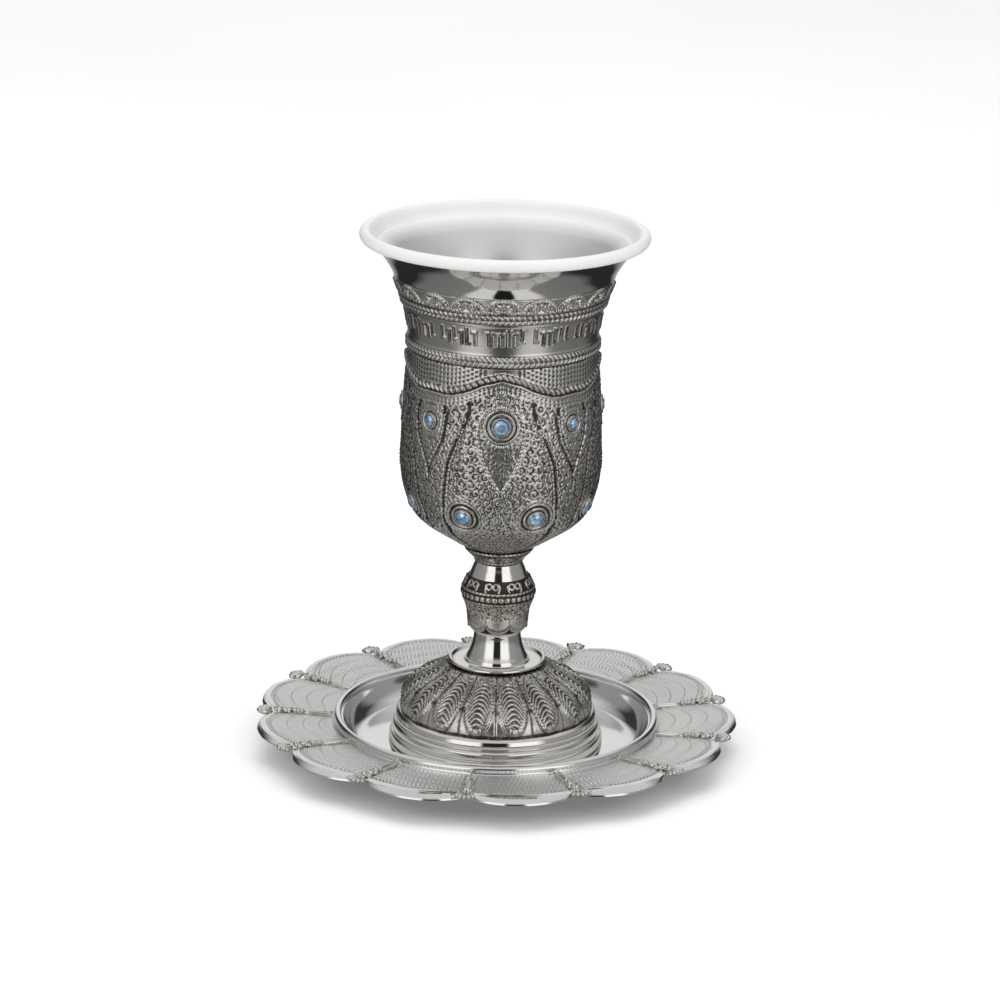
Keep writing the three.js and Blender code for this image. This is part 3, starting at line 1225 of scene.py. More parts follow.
        # The rolled edge: from the crest over to the lowest line of the outline and back under.
        crest_top = self._top((crest - self.petal_inner) / (edge - self.petal_inner), share)
        edge_steps = [
            (1.15, -0.9),
            (0.6, -0.55),
            (0.2, -0.2),
            (0.0, 0.15),
            (0.12, 0.75),
            (0.4, 1.3),
            (0.85, None),
        ]
        for step, (inset_by, rise) in enumerate(edge_steps):
            chosen = (rows >= edge_row + 2 * step) & (rows < edge_row + 2 * step + 2)
            radius[chosen] = (edge - inset_by)[chosen]
            if rise is None:
                height[chosen] = (crest_top - 0.08)[chosen]
            else:
                limit = crest_top - 0.1 - (1.3 - max(rise, 0.0)) * 0.12
                height[chosen] = np.minimum(self.edge_bottom + rise, limit)[chosen]
        below = (rows >= under) & (rows < edge_row)
        out_below = (base - 44.0) / (66.9 - 44.0)
        radius[below] = (44.0 + out_below * (edge - 1.4 - 44.0))[below]
        share_out = np.clip((radius - self.petal_inner) / (edge - self.petal_inner), 0.0, 1.0)
        height[below] = (self._top(share_out, share) - self.sheet)[below]
        places[:, 0], places[:, 1] = np.cos(angle) * radius * MM, np.sin(angle) * radius * MM
        places[:, 2] = height * MM
        mesh.vertices.foreach_set("co", places.astype(np.float32).ravel())
        polish = np.where(on_top & (inset > 2.5), 0.0, 1.0)
        centre = (share - 0.5) * TAU / self.petals * radius
        for name, values in (
            ("polish", polish),
            ("across", centre),
            ("outward", radius - self.petal_inner),
        ):
            layer = mesh.attributes.new(name, "FLOAT", "POINT")
            layer.data.foreach_set("value", values.astype(np.float32))
        mesh.attributes.remove(mesh.attributes["row"])
        mesh.update()

    def _spines(self, polished: bpy.types.Material) -> None:
        """A double-edged rod, beads, a leafy knot and a fluted tassel between each two petals."""
        shape = bmesh.new()
        self._one_spine(shape)
        first = list(shape.verts) + list(shape.edges) + list(shape.faces)
        for number in range(1, self.petals):
            copy = bmesh.ops.duplicate(shape, geom=first)["geom"]
            moved = [item for item in copy if isinstance(item, bmesh.types.BMVert)]
            turn = Matrix.Rotation(number * TAU / self.petals, 3, "Z")
            bmesh.ops.rotate(shape, cent=(0, 0, 0), matrix=turn, verts=moved)
        start = Matrix.Rotation(self.first_spine, 3, "Z")
        bmesh.ops.rotate(shape, cent=(0, 0, 0), matrix=start, verts=shape.verts)
        bmesh.ops.recalc_face_normals(shape, faces=shape.faces)
        piece("saucer_spines", mesh_of(shape, "saucer_spines"), polished)

    def _valley(self, radius: float) -> float:
        """Height of the sheet under a spine."""
        share = (radius - self.petal_inner) / (self.notch_radius - self.petal_inner)
        return self.petal_inner_top + (self.valley_end - self.petal_inner_top) * share

    def _one_spine(self, shape: bmesh.types.BMesh) -> None:
        """One spine along +X."""
        for side in (-1, 1):
            add_ellipsoid(
                shape, (50.4, 0.62 * side, self._valley(50.4) + 0.45), (4.6, 0.36, 0.5), -1.2 * side, 10
            )
        for radius, size in ((55.0, 0.75), (56.1, 0.6), (57.0, 0.85)):
            add_ellipsoid(shape, (radius, 0.0, self._valley(radius) + 0.7), (size, size, size))
        for number, (radius, yaw) in enumerate(((58.4, 38.0), (59.9, -38.0), (61.2, 32.0))):
            side = 1 if number % 2 else -1
            lift = self._valley(radius) + 0.75
            add_ellipsoid(shape, (radius, 0.35 * side, lift), (1.35, 0.62, 0.75), yaw)
            add_ellipsoid(shape, (radius + 0.3, -1.15 * side, lift - 0.1), (0.85, 0.45, 0.55), -yaw)
        add_ellipsoid(shape, (62.4, 0.0, 9.5), (0.55, 1.1, 0.8))
        for number in range(5):
            spread = (number - 2) * 17.0
            reach = 3.5 - 0.15 * abs(number - 2)
            centre = Vector((62.6, 0.0, 9.15)) + Vector(
                (math.cos(math.radians(spread)), math.sin(math.radians(spread)), 0.0)
            ) * (reach * 0.75 + 0.55)
            add_ellipsoid(
                shape, tuple(centre), (reach * 0.62, 0.68, 0.95 - 0.08 * abs(number - 2)), spread, 10
            )


# ---- Foot --------------------------------------------------------------------------------------------


@dataclass
class Foot:
    """Three polished steps under a dome of sixteen long beaded ovals."""

    ovals: int = 16
    dome_steps: int = 528
    dome_corners: tuple[tuple[float, float], ...] = (
        (27.2, 11.5),
        (26.9, 13.4),
        (26.3, 15.5),
        (25.2, 17.1),
        (23.6, 18.7),
        (21.4, 20.2),
        (18.6, 21.7),
        (15.8, 23.3),
        (13.4, 25.2),
    )

    def build(self, finishes: Finishes) -> None:
        """Make the steps and the dome."""
        self._steps(finishes.polished)
        self._dome(finishes.antique)

    def _steps(self, polished: bpy.types.Material) -> None:
        """Three rounded rings with a dark line between them."""
        profile = Profile()
        outer = [
            (29.2, 2.22),
            (30.1, 2.3),
            (30.3, 2.9),
            (30.1, 4.3),
            (29.6, 4.9),
            (28.9, 5.0),
            (28.85, 5.35),
            (29.35, 5.6),
            (29.5, 6.3),
            (29.2, 7.5),
            (28.6, 8.0),
            (28.0, 8.1),
            (27.95, 8.45),
            (28.5, 8.7),
            (28.6, 9.5),
            (28.2, 10.7),
            (27.5, 11.3),
            (26.6, 11.5),
        ]
        profile.run(outer, 0.4)
        profile.run([(25.2, 11.3), (25.6, 7.0), (27.2, 2.22)], 2.0)
        turned_piece("foot_steps", profile, 200, polished, ("foot",))

    def _dome(self, antique: bpy.types.Material) -> None:
        """The dome's relief sheet with its inner side."""
        profile = Profile().run(list(self.dome_corners), 0.3, smooth=True, zone=Zone.RELIEF)
        profile.run([(12.6, 24.6), (17.6, 20.9), (22.4, 17.4), (24.6, 14.6), (25.6, 11.5)], 4.0)
        turned_piece(
            "foot_dome", profile, self.dome_steps, antique, (), self._relief
        )

    def _relief(self, grid: Grid) -> tuple[Array, Array]:
        """Beaded ovals filled with stacked arcs, smooth spandrels low down."""
        up = grid.along / grid.along.max()
        half = math.pi / self.ovals * grid.radius
        across = centred((grid.angle - FRONT) / TAU * self.ovals) * 2 * half
        x = across / (half * 0.82)
        y = (up - 0.49) / 0.46
        ring = np.hypot(x, y)
        swell = 0.75 * np.sqrt(np.clip(1.0 - (ring * 0.92) ** 2, 0.0, 1.0))
        bow = grid.along + 0.42 * across**2
        arc = wire(centred(bow / 1.5) * 1.5, 0.46)
        fine = wire(centred(bow / 1.5 + 0.5) * 1.5, 0.2) * 0.45
        inside = ring < 0.80
        turn = np.arctan2(y, x)
        bead = 0.35 + 0.65 * wire(centred(turn / TAU * 46) * 1.0, 0.42)
        border = wire((ring - 0.92) * 4.2, 0.62) * bead
        gap = (ring >= 0.80) & (ring < 1.06)
        low = np.clip((0.42 - up) / 0.12, 0.0, 1.0)
        fill = scroll_fill(grid, 1.5, 0.75, 3.0)
        crease = groove(np.abs(across) - half, 0.35)
        outside = np.maximum(0.75 * low, fill * 0.8 * (1 - low)) * (1 - 0.6 * crease)
        shade = np.where(inside, np.maximum(arc, fine), np.where(gap, border, outside))
        lift = np.where(
            inside,
            -0.15 + 0.5 * arc,
            np.where(gap, 0.35 * border - 0.15, np.where(low > 0.5, 0.0, 0.3 * fill) - 0.2 * crease),
        )
        edge = np.clip(np.minimum(up, 1 - up) / 0.03, 0.0, 1.0)
        tone = shade * 0.95 + 0.03 * swell
        return (lift + swell * 0.8) * edge, np.where(edge < 1, 0.3, tone)


# ---- Stem --------------------------------------------------------------------------------------------


@dataclass
class Stem:
    """A dish with a bead rim, a polished trumpet, the knop and the waist."""

    leaves: int = 8
    belt_beads: int = 36
    rope_teeth: int = 48
    hearts: int = 9

    def build(self, finishes: Finishes) -> None:
        """Make the turned stem, the knop's sleeve and the neck band."""
        self._turned(finishes.polished)
        self._knop(finishes.knop)
        self._neck(finishes.knop)

    def _turned(self, polished: bpy.types.Material) -> None:
        """The polished core from the dish to the waist."""
        profile = Profile().run([(0.0, 25.35), (12.8, 25.35)], 7.0)
        bead = [
            (13.15 + 0.5 * math.cos(math.radians(a)), 26.05 + 0.5 * math.sin(math.radians(a)))
            for a in range(-90, 150, 20)
        ]
        profile.run(bead, 0.3)
        profile.run([(12.5, 26.0), (11.6, 25.75), (9.6, 25.8), (8.9, 26.1)], 0.4, smooth=True)
        trumpet = [
            (8.9, 26.1),
            (8.75, 26.9),
            (8.0, 28.2),
            (7.2, 30.3),
            (6.75, 32.4),
            (6.6, 34.2),
            (6.9, 36.2),
        ]
        profile.run(trumpet, 0.4, smooth=True)
        profile.run([(7.4, 38.0), (8.4, 42.0), (9.6, 45.4), (9.6, 46.9), (8.8, 48.8), (8.0, 51.2)], 1.0)
        profile.run([(8.0, 51.2), (7.5, 52.7), (6.9, 54.1), (6.5, 55.15)], 0.4, smooth=True)
        profile.run([(6.5, 55.15), (0.0, 55.15)], 4.0)
        turned_piece(
            "stem_turning", profile, 120, polished, ("stem",), closed=False
        )

    def _knop(self, knop: bpy.types.Material) -> None:
        """The knop's relief sleeve."""
        outer = [
            (7.5, 35.2),
            (8.2, 37.0),
            (8.45, 39.4),
            (8.8, 41.6),
            (9.6, 43.8),
            (10.2, 45.4),
            (10.3, 46.8),
            (9.9, 48.0),
            (9.2, 49.4),
            (8.5, 51.0),
        ]
        profile = Profile().run(outer, 0.28, smooth=True, zone=Zone.RELIEF)
        profile.run([(7.6, 51.0), (8.7, 47.0), (8.7, 45.0), (7.2, 40.0), (6.3, 35.6)], 3.0)
        turned_piece("knop", profile, 232, knop, (), self._knop_relief)

    def _knop_relief(self, grid: Grid) -> tuple[Array, Array]:
        """Leaves curling out below, a bead belt, and heart-shaped scrolls above."""
        z = grid.height
        leaf = grid.teeth(self.leaves, 0.5)
        drop = 37.6 - 2.2 * np.sqrt(np.clip(1 - (np.abs(leaf) * 2) ** 2, 0, 1))
        leaf_tip = np.clip((z - drop) / 0.35, 0.0, 1.0)
        vein = groove(leaf, 0.05)
        leaf_body = leaf_tip * (0.95 - 0.35 * vein) * (1 - 0.6 * groove(np.abs(leaf) - 0.5, 0.06))
        leaf_lift = leaf_tip * (0.55 + 0.45 * groove((z - drop - 0.5) / 1.2, 1.0))
        fill = scroll_fill(grid, 1.7, 0.85, 5.0)
        belt = wire(z - 46.1, 0.85) * (0.25 + 0.75 * wire(grid.teeth(self.belt_beads), 0.44))
        lean = z * 0.6
        twist_low = 0.5 + 0.5 * wire(grid.teeth(self.rope_teeth, lean), 0.4)
        twist_high = 0.5 + 0.5 * wire(grid.teeth(self.rope_teeth, -lean), 0.4)
        rope_low, rope_high = wire(z - 44.6, 0.42) * twist_low, wire(z - 47.6, 0.42) * twist_high
        heart = grid.teeth(self.hearts)
        x, y = heart * TAU / self.hearts * grid.radius, z - 49.5
        curl = wire(np.hypot(np.abs(x) - 0.95, y - 0.2) - 0.75, 0.34)
        point = wire(np.hypot(x, y + 0.2) - 2.1, 0.3) * (y < 0.9)
        scroll = np.maximum(curl, point)
        low = z < 39.8
        mid = (z >= 39.8) & (z < 48.1)
        bands = np.maximum(np.maximum(belt, rope_low), rope_high)
        mid_relief = np.maximum(bands, fill * (z < 44.2) * 0.9)
        shade = np.where(low, leaf_body, np.where(mid, mid_relief, scroll))
        lift = np.where(low, leaf_lift * 0.75, np.where(mid, 0.45 * mid_relief, 0.45 * scroll))
        return lift - 0.1, shade

    def _neck(self, knop: bpy.types.Material) -> None:
        """The small filigree cup between the waist and the bowl."""
        outer = [(6.6, 55.25), (7.1, 56.3), (8.3, 57.6), (9.3, 58.6), (9.55, 59.5)]
        profile = Profile().run(outer, 0.3, smooth=True, zone=Zone.RELIEF)
        profile.run([(8.6, 59.5), (5.6, 56.0), (5.6, 55.3)], 3.0)

        def relief(grid: Grid) -> tuple[Array, Array]:
            """Small scrolls under one twisted wire."""
            rope = wire(grid.height - 59.0, 0.5) * (0.4 + 0.6 * wire(grid.teeth(44, grid.height), 0.4))
            foot = wire(grid.height - 55.7, 0.4) * (0.5 + 0.5 * wire(grid.teeth(36), 0.4))
            fill = scroll_fill(grid, 1.4, 0.7, 8.0) * (grid.height < 58.4) * (grid.height > 56.2)
            tone = np.maximum(np.maximum(rope, foot), fill * 0.8)
            return 0.3 * tone, tone

        turned_piece("neck_band", profile, 190, knop, ("collar",), relief)


# ---- Bowl --------------------------------------------------------------------------------------------


@dataclass
class Bowl:
    """The filigree body, the two ropes with the band between them, and the flare with its scrolls."""

    body: tuple[tuple[float, float], ...] = (
        (10.0, 59.9),
        (12.6, 61.9),
        (17.3, 64.9),
        (21.6, 67.9),
        (24.4, 71.2),
        (26.2, 75.6),
        (27.2, 80.0),
        (27.65, 86.0),
        (27.5, 94.0),
        (27.1, 101.0),
        (26.6, 108.0),
        (26.3, 116.8),
    )
    split: float = 88.0
    body_steps: int = 600
    wave_peak: float = 114.9
    wave_drop: float = 5.2
    large_height: float = 100.9
    small_height: float = 100.4
    lower_height: float = 74.4
    wave_teeth: int = 100
    band_steps: int = 684
    band_rope_teeth: int = 114
    band_radius: float = 27.0
    stroke_pitch: float = 1.9
    strokes_per_group: int = 7
    scroll_steps: int = 720
    scrolls: int = 18

    def build(self, finishes: Finishes) -> None:
        """Make the bowl's pieces."""
        self._body(finishes.antique)
        self._band(finishes.antique)
        self._flare(finishes.antique, finishes.polished)

    def _body(self, antique: bpy.types.Material) -> None:
        """Two fine relief shells that meet at one height."""
        curve = Profile().run(list(self.body), 0.29, smooth=True)
        rows = list(zip(curve.radius, curve.height))
        cut = next(i for i, (_, z) in enumerate(rows) if z >= self.split)
        wall = 0.9
        inner = [(25.4, 116.8), (25.6, 108.0), (26.5, 94.0), (26.6, 88.0)]
        upper = Profile().run(rows[cut:], 9.0, zone=Zone.RELIEF)
        upper.run(inner, 12.0)
        below = [(rows[cut][0] - wall, rows[cut][1]), (25.4, 77.0), (20.6, 69.0), (9.2, 61.2)]
        lower = Profile().run(rows[: cut + 1], 9.0, zone=Zone.RELIEF)
        lower.run(below, 8.0)
        start = sum(math.dist(a, b) for a, b in zip(rows[:cut], rows[1 : cut + 1]))

        def upper_relief(grid: Grid) -> tuple[Array, Array]:
            """The body's relief, counted on from the lower shell."""
            grid.along = grid.along + start
            grid.row_along = grid.row_along + start
            return self._relief(grid)

        turned_piece(
            "bowl_lower", lower, self.body_steps, antique, ("bowl",), self._relief
        )
        turned_piece("bowl_upper", upper, self.body_steps, antique, (), upper_relief)

    def _relief(self, grid: Grid) -> tuple[Array, Array]:
        """The pattern of the body, four times round, each quarter mirrored."""
        z = grid.height
        turn = grid.fold(4)
        drop = np.interp(turn, [0, 11.5, 17.5, 24, 32, 37, 45], [0, 0.27, 0.55, 0.78, 0.98, 1.0, 0.94])
        above = z - (self.wave_peak - self.wave_drop * drop)
        # Panels between their dark lines.
        outer_line = np.interp(z, [80, 86, 89, 96, 102, 104], [46, 45, 43, 35, 33, 33])
        inner_line = np.interp(z, [70, 76, 83, 90, 95.5, 104], [37.5, 35.7, 33.6, 31.6, 27, 21])
        per_degree = grid.radius * math.radians(1.0)
        from_outer = (turn - outer_line) * per_degree
        from_inner = (turn - inner_line) * per_degree
        fill = scroll_fill(grid, 2.3, 0.95, 0.0)
        close = scroll_fill(grid, 1.75, 0.8, 2.0)
        panel = np.where((from_outer > 0) & (z > 84), close, fill)
        panel = np.where((from_inner < 0) & (z > 78), scroll_fill(grid, 2.7, 1.0, 4.0), panel)
        lines = groove(from_outer, 0.5) * ((z > 80) & (z < 104)) * (turn < 45)
        lines = np.maximum(lines, groove(from_inner, 0.5) * (z > 71) * (z < 97))
        # A twisted wire beside each dark line.
        twist = 0.45 + 0.55 * wire(centred(grid.along / 1.25) * 1.0, 0.42)
        by_inner, by_outer = from_inner + 0.85, from_outer - 0.85
        beside = np.maximum(
            wire(by_inner, 0.42) * (z > 72) * (z < 98), wire(by_outer, 0.42) * (z > 84) * (z < 103)
        )
        cleared = 1 - 0.9 * groove(np.minimum(np.abs(by_inner), np.abs(by_outer)), 0.9)
        panel = np.maximum(panel * cleared, beside * twist)
        height, shade = 0.5 * panel, panel * 0.9
        height, shade = height * (1 - lines) - 0.2 * lines, shade * (1 - 0.7 * lines)
        # The smooth drop under each large stone, edged with a twisted wire.
        half = np.interp(z, [82.3, 84, 88, 92.2, 98, 102, 105.5, 108], [0, 1.3, 3.4, 5.2, 6.5, 6.0, 4.0, 0])
        side = turn * per_degree
        rim = side - half
        stipple = scroll_fill(grid, 1.45, 0.72, 6.0)
        in_drop = (rim < 0) & (z > 82.3) & (z < 108)
        height = np.where(in_drop, 0.35 * stipple, height)
        shade = np.where(in_drop, 0.10 + 0.62 * stipple, shade)
        strands = 0.35 + 0.65 * wire(centred(grid.along / 1.15), 0.42)
        rope = wire(rim, 0.5) * strands * ((z > 82) & (z < 108))
        height, shade = np.maximum(height, 0.7 * rope), np.maximum(shade, rope)
        # A chain of small flowers between the drop and the inner line.
        chain = np.interp(z, [78, 86, 92, 100, 105.5], [27, 26, 25, 22.5, 23.0])
        link = centred((z - 105.5) / 3.3 + 0.5)
        reach = np.hypot((turn - chain) * per_degree, link * 3.3)
        size = np.where(z > 103.5, 1.9, 1.25)
        in_chain = (z > 77) & (z < 107.5)
        disc = np.clip((size - reach) / 0.3, 0.0, 1.0) * in_chain
        petals = 0.75 + 0.25 * wire(reach, 0.45) - 0.75 * groove(reach - 0.62, 0.2)
        height = np.where(disc > 0, np.maximum(height * (1 - disc), 0.6 * disc * petals), height)
        shade = np.where(disc > 0, disc * petals, shade)
        # Round each stone.
        height, shade = self._rings(grid, height, shade)
        # The wavy rope and what lies against it.
        lean = 0.42 * above
        tooth = 0.25 + 0.75 * wire(grid.teeth(self.wave_teeth, lean), 0.44)
        wave = wire(above, 0.95) * tooth
        thin = wire(above + 1.65, 0.4)
        row_place = centred((above + 2.15) / 1.05)
        holes = pierced(grid.teeth(128), row_place, 1.2, 0.27)
        mesh_rows = centred(above / 1.25)
        spandrel = pierced(grid.teeth(132), mesh_rows, 1.25, 0.36)
        tight = np.clip((turn - 9.0) / 5.0, 0.0, 1.0)
        choices = [
            (above > 0.95, 0.3 * spandrel * tight, 0.8 * spandrel * tight + 0.8 * (1 - tight)),
            ((above <= 0.95) & (above > -0.95), 0.95 * wave, wave),
            ((above <= -0.95) & (above > -1.3), -0.15, 0.0),
            ((above <= -1.3) & (above > -2.1), 0.5 * thin, 0.3 + 0.65 * thin),
            ((above <= -2.1) & (above > -4.3), 0.32 * holes, 0.88 * holes),
        ]
        for where, lifted, toned in choices:
            height, shade = np.where(where, lifted, height), np.where(where, toned, shade)
        foot = np.clip((z - 60.4) / 1.0, 0.0, 1.0)
        return height * foot, shade

    def _rings(self, grid: Grid, height: Array, shade: Array) -> tuple[Array, Array]:
        """Wires and a sunk ground round each stone.

        Args:
            grid: The vertices.
            height: Heights so far, in millimetres.
            shade: Shades so far.

        Returns:
            The heights and shades with the rings laid over them.
        """
        # Stones round the bowl, the first one's angle, their height, their wires and the last wire.
        places = (
            (4, 0.0, self.large_height, (3.5, 4.6), 5.0),
            (4, 45.0, self.small_height, (2.9,), 3.3),
            (8, 22.5, self.lower_height, (3.3, 4.7), 5.2),
        )
        for count, first, stone_height, radii, reach in places:
            if not grid.height.min() < stone_height < grid.height.max():
                continue
            at = np.interp(stone_height, *self._stations(grid))
            turns = (grid.angle - math.radians(first)) / TAU * count
            x = centred(turns + 0.5) * TAU / count * grid.radius
            y = grid.along - at
            far = np.hypot(x, y)
            near = far < reach
            stipple = grain(grid, 0.8, 6.0)
            ground, tone = -0.05 + 0.12 * stipple, 0.25 + 0.2 * stipple
            for ring in radii:
                line = wire(far - ring, 0.36)
                dark = groove(far - ring - 0.6, 0.35)
                ground = np.maximum(ground, 0.55 * line) - 0.15 * dark
                tone = np.maximum(tone, line) * (1 - 0.8 * dark * (line < 0.1))
            height, shade = np.where(near, ground, height), np.where(near, tone, shade)
            around = np.arctan2(y, x)
            beads = 0.35 + 0.65 * wire(centred(around / TAU * round(TAU * reach / 1.15)), 0.42)
            rope = wire(far - reach - 0.45, 0.5) * beads
            height, shade = np.maximum(height, 0.6 * rope), np.maximum(shade, rope)
        return height, shade

    @staticmethod
    def _stations(grid: Grid) -> tuple[Array, Array]:
        """Heights and places along the profile, for looking one up from the other."""
        order = np.argsort(grid.height)
        sample = order[:: max(1, len(order) // 4000)]
        return grid.height[sample], grid.along[sample]

    def _band(self, antique: bpy.types.Material) -> None:
        """The lower rope, the plain band with its groups of strokes, and the upper rope."""
        outer = [
            (26.3, 116.8),
            (26.35, 118.4),
            (26.35, 120.0),
            (26.6, 123.5),
            (27.1, 126.8),
            (27.8, 129.3),
            (28.2, 130.9),
            (28.75, 132.6),
        ]
        profile = Profile().run(outer, 0.3, smooth=True, zone=Zone.RELIEF)
        profile.run([(27.8, 132.6), (25.5, 124.0), (25.5, 116.8)], 9.0)
        turned_piece(
            "bowl_band", profile, self.band_steps, antique, (), self._band_relief
        )

    def _double_rope(self, grid: Grid, low: float, high: float) -> Array:
        """Two twisted wires that lean against each other, heights from 0 to 1."""
        z, middle, half = grid.height, (low + high) / 2, (high - low) / 4
        strands = np.maximum(wire(z - middle - half, half * 1.02), wire(z - middle + half, half * 1.02))
        lean = np.abs(z - middle) * 0.55
        return strands * (0.15 + 0.85 * wire(grid.teeth(self.band_rope_teeth, lean), 0.45))

    def _band_relief(self, grid: Grid) -> tuple[Array, Array]:
        """Ropes with their edging wires, and upright strokes in groups that spell nothing."""
        z = grid.height
        ropes = np.maximum(self._double_rope(grid, 117.2, 119.9), self._double_rope(grid, 129.5, 132.3))
        on_rope = ((z > 116.9) & (z < 120.0)) | ((z > 129.3) & (z < 132.6))
        slots = grid.angle * self.band_radius / self.stroke_pitch
        slot = np.floor(slots)
        number = np.mod(slot, round(TAU * self.band_radius / self.stroke_pitch))
        place = (slots - slot - 0.5) * self.stroke_pitch
        kind = scatter(number, np.full_like(number, 2.0), 7.0)
        gap = np.mod(number, self.strokes_per_group) == 0
        top = 128.2 - 0.9 * (kind > 0.55)
        foot = 123.2 + 0.8 * (kind < 0.3)
        upright = wire(place - 0.25 * np.sign(kind - 0.5), 0.42) * (z < top) * (z > foot)
        bar = wire(z - top + 0.4, 0.42) * (np.abs(place) < 0.75) * (kind > 0.35)
        low_bar = wire(z - foot - 0.4, 0.36) * (np.abs(place) < 0.7) * (kind < 0.45)
        strokes = np.maximum(np.maximum(upright, bar), low_bar) * ~gap
        ground = grain(grid, 1.0, 9.0)
        edging = np.maximum(wire(z - 120.5, 0.28), wire(z - 128.95, 0.28)) * 0.7
        body = np.where(strokes > 0.02, 0.12 + 0.45 * ground * (strokes > 0.7), 1.0)
        lift = np.maximum(0.4 * strokes, 0.25 * edging)
        worn_ropes = 0.2 + 0.8 * ropes
        return np.where(on_rope, 0.75 * ropes, lift), np.where(on_rope, worn_ropes, body)

    def _flare(self, antique: bpy.types.Material, polished: bpy.types.Material) -> None:
        """The row of scroll motifs and the plain polished flare above it."""
        scrolls = Profile().run(
            [(28.75, 132.6), (29.5, 134.6), (30.35, 136.8)], 0.26, smooth=True, zone=Zone.RELIEF
        )
        scrolls.run([(29.5, 136.8), (27.9, 132.6)], 9.0)
        turned_piece(
            "scroll_row",
            scrolls,
            self.scroll_steps,
            antique,
            (),
            self._scroll_relief,
        )
        flare = [(30.3, 136.8), (31.2, 138.9), (32.5, 141.1), (34.2, 143.6), (36.4, 146.25)]
        plain = Profile().run(flare, 0.6, smooth=True)
        plain.run([(35.5, 146.25), (33.4, 143.8), (31.6, 141.4), (30.3, 139.0), (29.5, 136.8)], 0.8)
        turned_piece("bowl_flare", plain, 160, polished)

    def _scroll_relief(self, grid: Grid) -> tuple[Array, Array]:
        """Eighteen beaded arches, each with two scrolls that turn inwards."""
        pitch = TAU / self.scrolls * grid.radius
        x = grid.teeth(self.scrolls) * pitch
        y = grid.height - 132.9
        arch = np.hypot(x / (pitch * 0.47), y / 3.9)
        beads = 0.35 + 0.65 * wire(centred(np.arctan2(y, x) / TAU * 32), 0.42)
        rim = wire((arch - 0.93) * 4.0, 0.5) * beads
        far = np.hypot(np.abs(x) - 1.75, y - 1.35)
        sweep = np.arctan2(y - 1.35, np.abs(x) - 1.75) / TAU
        curl = wire(centred(far / 0.92 + sweep) * 0.92, 0.36) * (far < 1.45)
        crown = wire(np.hypot(x, y - 2.5), 0.55)
        tail = wire(y - 0.15, 0.3)
        motif = np.maximum(np.maximum(rim, curl), np.maximum(crown, tail * 0.8))
        shadow = (groove((arch - 0.75) * 4.0, 0.45) + groove(far - 1.1, 0.9) * 0.8) * (motif < 0.12)
        shade = np.where(motif > 0.12, 0.55 + 0.45 * motif, 1.0 - 0.75 * np.clip(shadow, 0.0, 1.0))
        return 0.7 * motif, shade


# ---- Stones and their settings -----------------------------------------------------------------------


@dataclass
class StoneRow:
    """A row of equal stones round the bowl."""

    name: str
    count: int
    first: float
    radius: float
    height: float
    tilt: float
    size: float


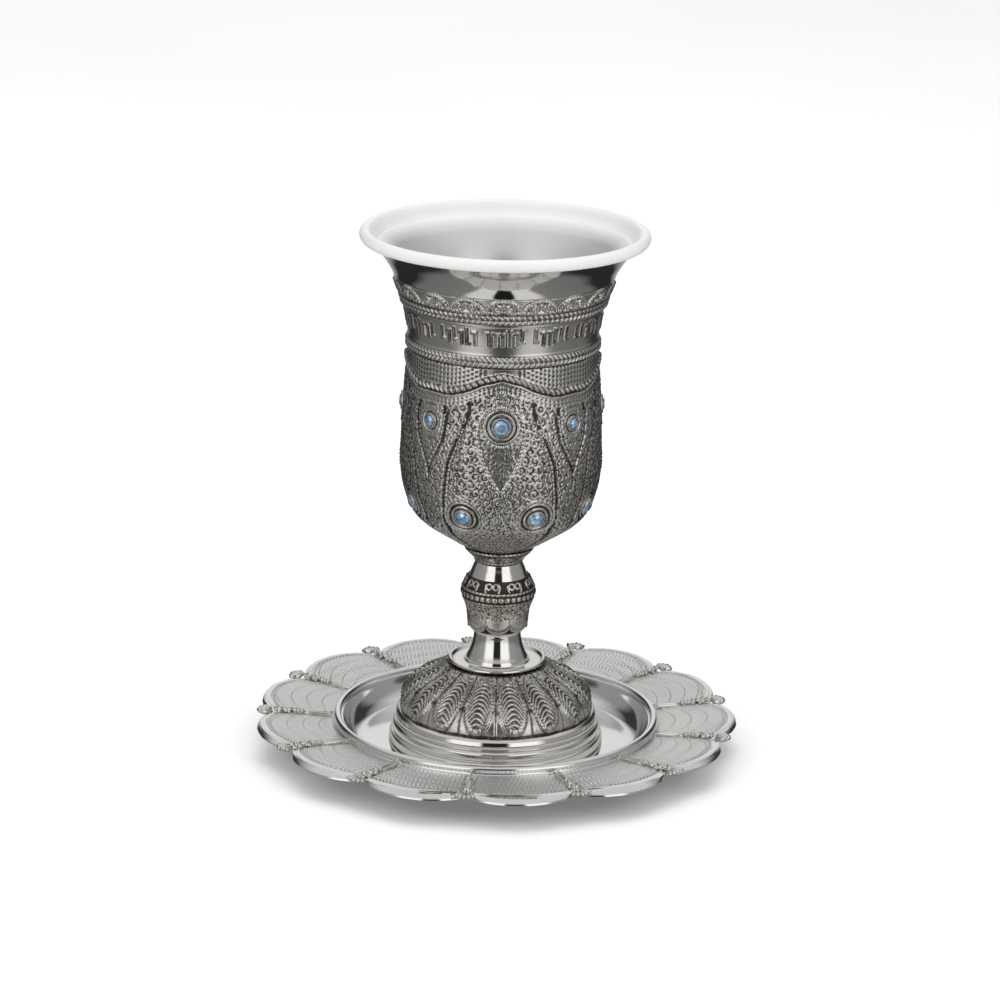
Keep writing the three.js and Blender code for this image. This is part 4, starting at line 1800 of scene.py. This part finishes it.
@dataclass
class Stones:
    """Sixteen faceted stones, each in its own bezel."""

    rows: tuple[StoneRow, ...] = (
        StoneRow("upper_large", 4, 0.0, 27.1, 100.9, -2.0, 2.25),
        StoneRow("upper_small", 4, 45.0, 27.1, 100.4, -2.0, 1.7),
        StoneRow("lower", 8, 22.5, 25.8, 74.4, 22.0, 2.1),
    )

    def build(self, finishes: Finishes) -> None:
        """Make every stone and one piece with all the bezels."""
        bezels = bmesh.new()
        for row in self.rows:
            for number in range(row.count):
                angle = math.radians(row.first + number * 360.0 / row.count)
                place = on_wall(row.radius, row.height, angle, row.tilt)
                self._gem(row, number, place, finishes.stone)
                self._bezel(bezels, row.size, place)
        bmesh.ops.recalc_face_normals(bezels, faces=bezels.faces)
        mesh = mesh_of(bezels, "stone_bezels")
        mesh.attributes.new("relief", "FLOAT", "POINT").data.foreach_set(
            "value", np.full(len(mesh.vertices), 0.62, np.float32)
        )
        piece("stone_bezels", mesh, finishes.antique)

    def _gem(self, row: StoneRow, number: int, place: Matrix, stone: bpy.types.Material) -> None:
        """One stone with a table, eight crown facets and eight star facets."""
        shape = bmesh.new()
        size = row.size * MM * 0.98
        bmesh.ops.create_circle(shape, cap_ends=True, segments=16, radius=size)
        raised = bmesh.ops.extrude_face_region(shape, geom=list(shape.faces))["geom"]
        girdle = [item for item in raised if isinstance(item, bmesh.types.BMVert)]
        bmesh.ops.translate(shape, vec=(0, 0, 0.35 * MM), verts=girdle)
        for share, rise in ((0.80, 0.42), (0.52, 0.36)):
            cap = [item for item in raised if isinstance(item, bmesh.types.BMFace)]
            raised = bmesh.ops.extrude_face_region(shape, geom=cap)["geom"]
            bmesh.ops.delete(shape, geom=cap, context="FACES_KEEP_BOUNDARY")
            top = [item for item in raised if isinstance(item, bmesh.types.BMVert)]
            reach = size * share
            turn = Matrix.Rotation(TAU / 32, 3, "Z")
            for vertex in top:
                flat = Vector((vertex.co.x, vertex.co.y, 0.0)).normalized() * reach
                vertex.co = Vector((flat.x, flat.y, vertex.co.z + rise * MM))
            bmesh.ops.rotate(shape, cent=(0, 0, 0), matrix=turn, verts=top)
        bmesh.ops.triangulate(shape, faces=[f for f in shape.faces if len(f.verts) == 4])
        bmesh.ops.recalc_face_normals(shape, faces=shape.faces)
        seat = place @ Matrix.Translation((0, 0, 0.2 * MM))
        bmesh.ops.transform(shape, matrix=seat, verts=shape.verts)
        name = f"gem_{row.name}_{number + 1}"
        mesh = mesh_of(shape, name, smooth=False)
        piece(name, mesh, stone, (f"stone_{row.name}_{number + 1}",))

    @staticmethod
    def _bezel(shape: bmesh.types.BMesh, size: float, place: Matrix) -> None:
        """A rounded collar that holds one stone by its girdle."""
        ring = bmesh.new()
        section = [
            (size + 0.05, -0.3),
            (size + 0.62, -0.3),
            (size + 0.55, 0.4),
            (size + 0.3, 0.85),
            (size + 0.02, 0.9),
            (size - 0.12, 0.78),
            (size + 0.05, 0.55),
        ]
        rows = [ring.verts.new((radius * MM, 0.0, rise * MM)) for radius, rise in section]
        edges = [ring.edges.new(pair) for pair in zip(rows, rows[1:] + rows[:1])]
        bmesh.ops.spin(
            ring,
            geom=rows + edges,
            cent=(0, 0, 0),
            axis=(0, 0, 1),
            angle=TAU,
            steps=28,
            use_merge=True,
            use_duplicate=False,
        )
        bmesh.ops.transform(ring, matrix=place, verts=ring.verts)
        held = bpy.data.meshes.new("one_bezel")
        ring.to_mesh(held)
        ring.free()
        shape.from_mesh(held)
        bpy.data.meshes.remove(held)


# ---- Insert ------------------------------------------------------------------------------------------


@dataclass
class Insert:
    """The loose plastic liner with its rolled rim."""

    roll_radius: float = 38.25
    roll_height: float = 148.1
    roll: float = 1.7

    def build(self, finishes: Finishes) -> None:
        """Make the liner."""
        outer = [(0.0, 65.9), (8.0, 67.6), (16.0, 71.8), (23.2, 77.7), (25.2, 88.0), (25.0, 108.0)]
        profile = Profile().run(outer, 3.0, smooth=True)
        profile.run([(24.9, 126.2), (26.8, 133.0), (31.4, 142.6), (34.4, 146.35)], 1.2, smooth=True)
        profile.run([(34.4, 146.35), (37.0, 146.4)], 0.8)
        roll = [
            (
                self.roll_radius + self.roll * math.cos(math.radians(a)),
                self.roll_height + self.roll * math.sin(math.radians(a)),
            )
            for a in range(-80, 150, 12)
        ]
        profile.run(roll, 0.5)
        inner = [
            (36.4, 148.6),
            (35.5, 147.3),
            (33.6, 145.3),
            (30.6, 141.9),
            (27.6, 137.0),
            (25.8, 132.6),
        ]
        profile.run(inner, 0.6, smooth=True)
        wall = [
            (25.8, 132.6),
            (24.2, 126.5),
            (24.0, 108.0),
            (24.1, 88.6),
            (22.2, 79.0),
            (15.6, 73.2),
            (7.6, 68.9),
        ]
        profile.run(wall, 2.0, smooth=True)
        profile.run([(7.6, 68.9), (0.0, 67.2)], 4.0)
        turned_piece("liner", profile, 180, finishes.liner, ("insert",), closed=False)


def main() -> None:
    """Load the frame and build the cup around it."""
    logging.basicConfig(level=logging.INFO, format="%(name)s: %(message)s")
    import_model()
    finishes = make_finishes()
    Studio().build()
    for assembly in (Saucer(), Foot(), Stem(), Bowl(), Stones(), Insert()):
        assembly.build(finishes)


if __name__ == "__main__":
    main()
